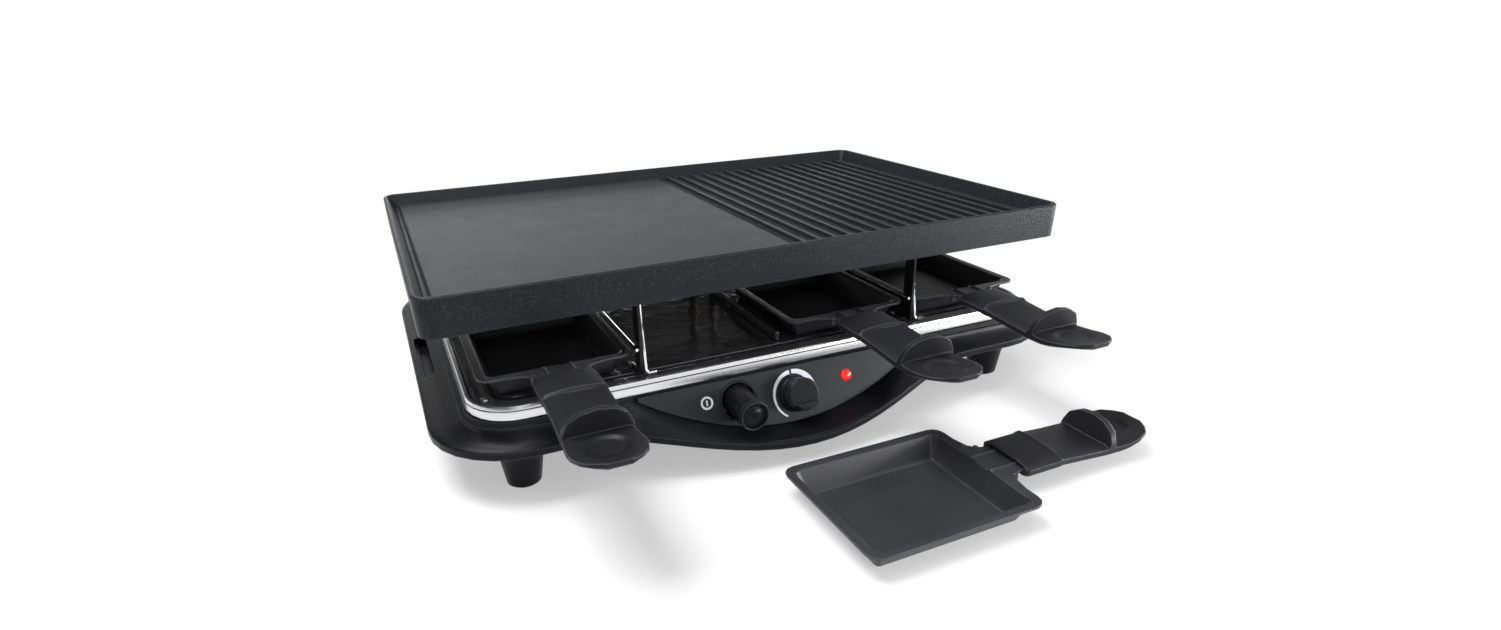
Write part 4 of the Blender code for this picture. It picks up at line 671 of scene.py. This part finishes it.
def screw_mesh():
    """Domed head with a cross recess, standing on the plane z = 0."""
    rows = [(SCREW_RADIUS * share, SCREW_HEIGHT * level) for share, level in SCREW_ROWS]
    points, faces = rings(rows, SCREW_SIDES)
    # Of every four points of the star, two are the end of an arm and two lie between arms
    star = []
    for i in range(RECESS_POINTS):
        angle = FULL_TURN * i / RECESS_POINTS + math.pi / RECESS_POINTS
        reach = SCREW_RADIUS * (ARM_REACH if i % 4 in (0, 3) else WAIST_REACH)
        star.append((reach * math.cos(angle), reach * math.sin(angle)))
    crown = (len(rows) - 1) * SCREW_SIDES
    top = len(points)
    floor = top + RECESS_POINTS
    points.extend((x, y, SCREW_HEIGHT) for x, y in star)
    floor_height = SCREW_HEIGHT - RECESS_DEPTH
    points.extend((x * RECESS_FLOOR, y * RECESS_FLOOR, floor_height) for x, y in star)
    # The star's walls go down to its floor, and its rim is joined to the crown's nearest points
    for i in range(RECESS_POINTS):
        j = (i + 1) % RECESS_POINTS
        faces.append((top + i, top + j, floor + j, floor + i))
        a = crown + round(i * SCREW_SIDES / RECESS_POINTS + 0.5) % SCREW_SIDES
        b = crown + round(j * SCREW_SIDES / RECESS_POINTS + 0.5) % SCREW_SIDES
        if a != b:
            faces.append((a, b, top + j, top + i))
    faces.append(tuple(floor + i for i in range(RECESS_POINTS)))
    return points, faces


def make_screws(materials):
    """Screws in each post's foot, on the tray's corners and in the underside."""
    places = {}
    tray_low, tray_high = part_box("pan_tray")
    for tail, (_, side_y) in CORNERS.items():
        low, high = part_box("post_" + tail)
        inner_face = high[1] if side_y < 0 else low[1]
        y = inner_face - side_y * POST_SCREW_GAP
        spot = ((low[0] + high[0]) / 2, y, tray_high[2] - POST_SCREW_DROP)
        places["post_screw_" + tail] = Matrix.Translation(spot)
    middle = (tray_low[1] + tray_high[1]) / 2
    from_middle_x = tray_high[0] - TRAY_SCREW_INSET[0]
    from_middle_y = (tray_high[1] - tray_low[1]) / 2 - TRAY_SCREW_INSET[1]
    for tail, (side_x, side_y) in CORNERS.items():
        y = middle + side_y * from_middle_y
        spot = (side_x * from_middle_x, y, tray_high[2] - SCREW_SINK)
        places["tray_screw_" + tail] = Matrix.Translation(spot)
    upside_down = Matrix.Rotation(math.pi, 4, "X")
    for number, (x, y) in enumerate(COVER_SCREWS, 1):
        spot = (x, y, COVER_UNDERSIDE + SCREW_SINK)
        places[f"cover_screw_{number}"] = Matrix.Translation(spot) @ upside_down
    points, faces = screw_mesh()
    for name, place in places.items():
        piece(name, points, faces, materials["screw"], "base", place)


def make_neck_pins(materials):
    """The two upright pins at the root of each handle, at the sides of the pan's neck."""
    points, faces = rings([(PIN_RADIUS * share, height) for share, height in PIN_ROWS], PIN_SIDES)
    top = len(points) - PIN_SIDES
    faces.append(tuple(top + i for i in range(PIN_SIDES)))
    coating = "non_stick_coating"
    for tail, body in PAN_BODIES.items():
        root, _, outward, across = handle_ends(tail)
        foot = root - outward * PIN_GAP + Vector((0.0, 0.0, PIN_FOOT))
        for mark, side in (("left", -1), ("right", 1)):
            place = Matrix.Translation(foot + across * side * PIN_OFFSET)
            name = "neck_pin_" + tail + "_" + mark
            piece(name, points, faces, materials[coating], body, place)


# ---- camera, floor and light


def look_along(azimuth, dip, roll):
    """The camera's axes, to its right, up and backward."""
    level_part = math.cos(dip)
    forward = Vector(
        (math.sin(azimuth) * level_part, math.cos(azimuth) * level_part, -math.sin(dip))
    )
    level = forward.cross(Vector((0.0, 0.0, 1.0))).normalized()
    upright = level.cross(forward)
    right = level * math.cos(roll) + upright * math.sin(roll)
    up = upright * math.cos(roll) - level * math.sin(roll)
    return right, up, -forward


def make_camera():
    """The photograph's camera, whose middle pixel isn't the picture's."""
    data = bpy.data.cameras.new("camera")
    camera = bpy.data.objects.new("camera", data)
    bpy.context.scene.collection.objects.link(camera)
    axes = look_along(CAMERA_AZIMUTH, CAMERA_DIP, CAMERA_ROLL)
    turn = Matrix(axes).transposed().to_4x4()
    camera.matrix_world = Matrix.Translation(CAMERA_PLACE) @ turn
    data.lens = data.sensor_width * FOCAL_PIXELS / PHOTO_WIDTH
    data.shift_x = (PHOTO_WIDTH / 2 - CENTRE_PIXEL[0]) / PHOTO_WIDTH
    data.shift_y = (CENTRE_PIXEL[1] - PHOTO_HEIGHT / 2) / PHOTO_WIDTH
    data.clip_start, data.clip_end = CLIP_START, CLIP_END
    bpy.context.scene.camera = camera


def floor_material():
    """Pale floor that turns white where it is seen or mirrored, away from the object's shadow."""
    look = Look("floor")
    plain = look.shader.outputs["BSDF"]
    white = look.add("Emission", "Emission", {"Strength": 1.0})
    share = look.spread(look.measure("LENGTH", look.place), **FLOOR_WHITE)
    shown = look.maths("MAXIMUM", *look.ray_kinds())
    gate = look.maths("MULTIPLY", share, shown)
    mixed = look.add("MixShader", "Shader", {0: gate, 1: plain, 2: white})
    look.fill(look.nodes["Material Output"].inputs, {"Surface": mixed})
    return look.finish({
        "Base Color": (FLOOR_TONE, FLOOR_TONE, FLOOR_TONE, 1.0),
        "Roughness": 0.9,
        "Specular IOR Level": 0.0,
    })


def make_floor():
    """The wide plain floor that the grill stands on."""
    mesh = bpy.data.meshes.new("floor")
    work = bmesh.new()
    bmesh.ops.create_grid(work, x_segments=1, y_segments=1, size=FLOOR_HALF_WIDTH)
    work.to_mesh(mesh)
    work.free()
    floor = bpy.data.objects.new("floor", mesh)
    bpy.context.scene.collection.objects.link(floor)
    floor.location = (0.0, 0.0, -FLOOR_DROP)
    floor.data.materials.append(floor_material())


def make_lamps():
    """The rectangular lamps, each turned to its aim."""
    for name, place, aim, size, power in LAMPS:
        data = bpy.data.lights.new(name, "AREA")
        data.shape = "RECTANGLE"
        data.size, data.size_y = size
        data.energy = power
        lamp = bpy.data.objects.new(name, data)
        bpy.context.scene.collection.objects.link(lamp)
        lamp.location = place
        lamp.rotation_euler = (Vector(aim) - Vector(place)).to_track_quat("-Z", "Y").to_euler()


def make_world():
    """White world, dimmer on the object, and darker at the sides for what metal mirrors."""
    world = bpy.data.worlds.new("studio")
    graph = Graph(world)
    x, y, _ = graph.axes(graph.add("TexCoord", "Generated", {}))
    right = graph.blend(graph.spread(y, **BEHIND), 1.0, graph.spread(x, **RIGHT_FLAG))
    flagged = graph.maths("MULTIPLY", graph.spread(x, **LEFT_FLAG), right)
    mirrored, seen = graph.ray_kinds()
    strength = graph.blend(seen, graph.blend(mirrored, WORLD_STRENGTH, flagged), 1.0)
    background = graph.nodes["Background"].inputs
    graph.fill(background, {"Color": (1.0, 1.0, 1.0, 1.0), "Strength": strength})
    bpy.context.scene.world = world


def main():
    """Dresses the CAD and sets the scene."""
    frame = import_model()
    make_camera()
    materials = make_materials()
    dress_nodes(frame, materials)
    make_prints(materials)
    make_screws(materials)
    make_neck_pins(materials)
    make_floor()
    make_lamps()
    make_world()
    bpy.context.scene.view_settings.view_transform = "Standard"


main()
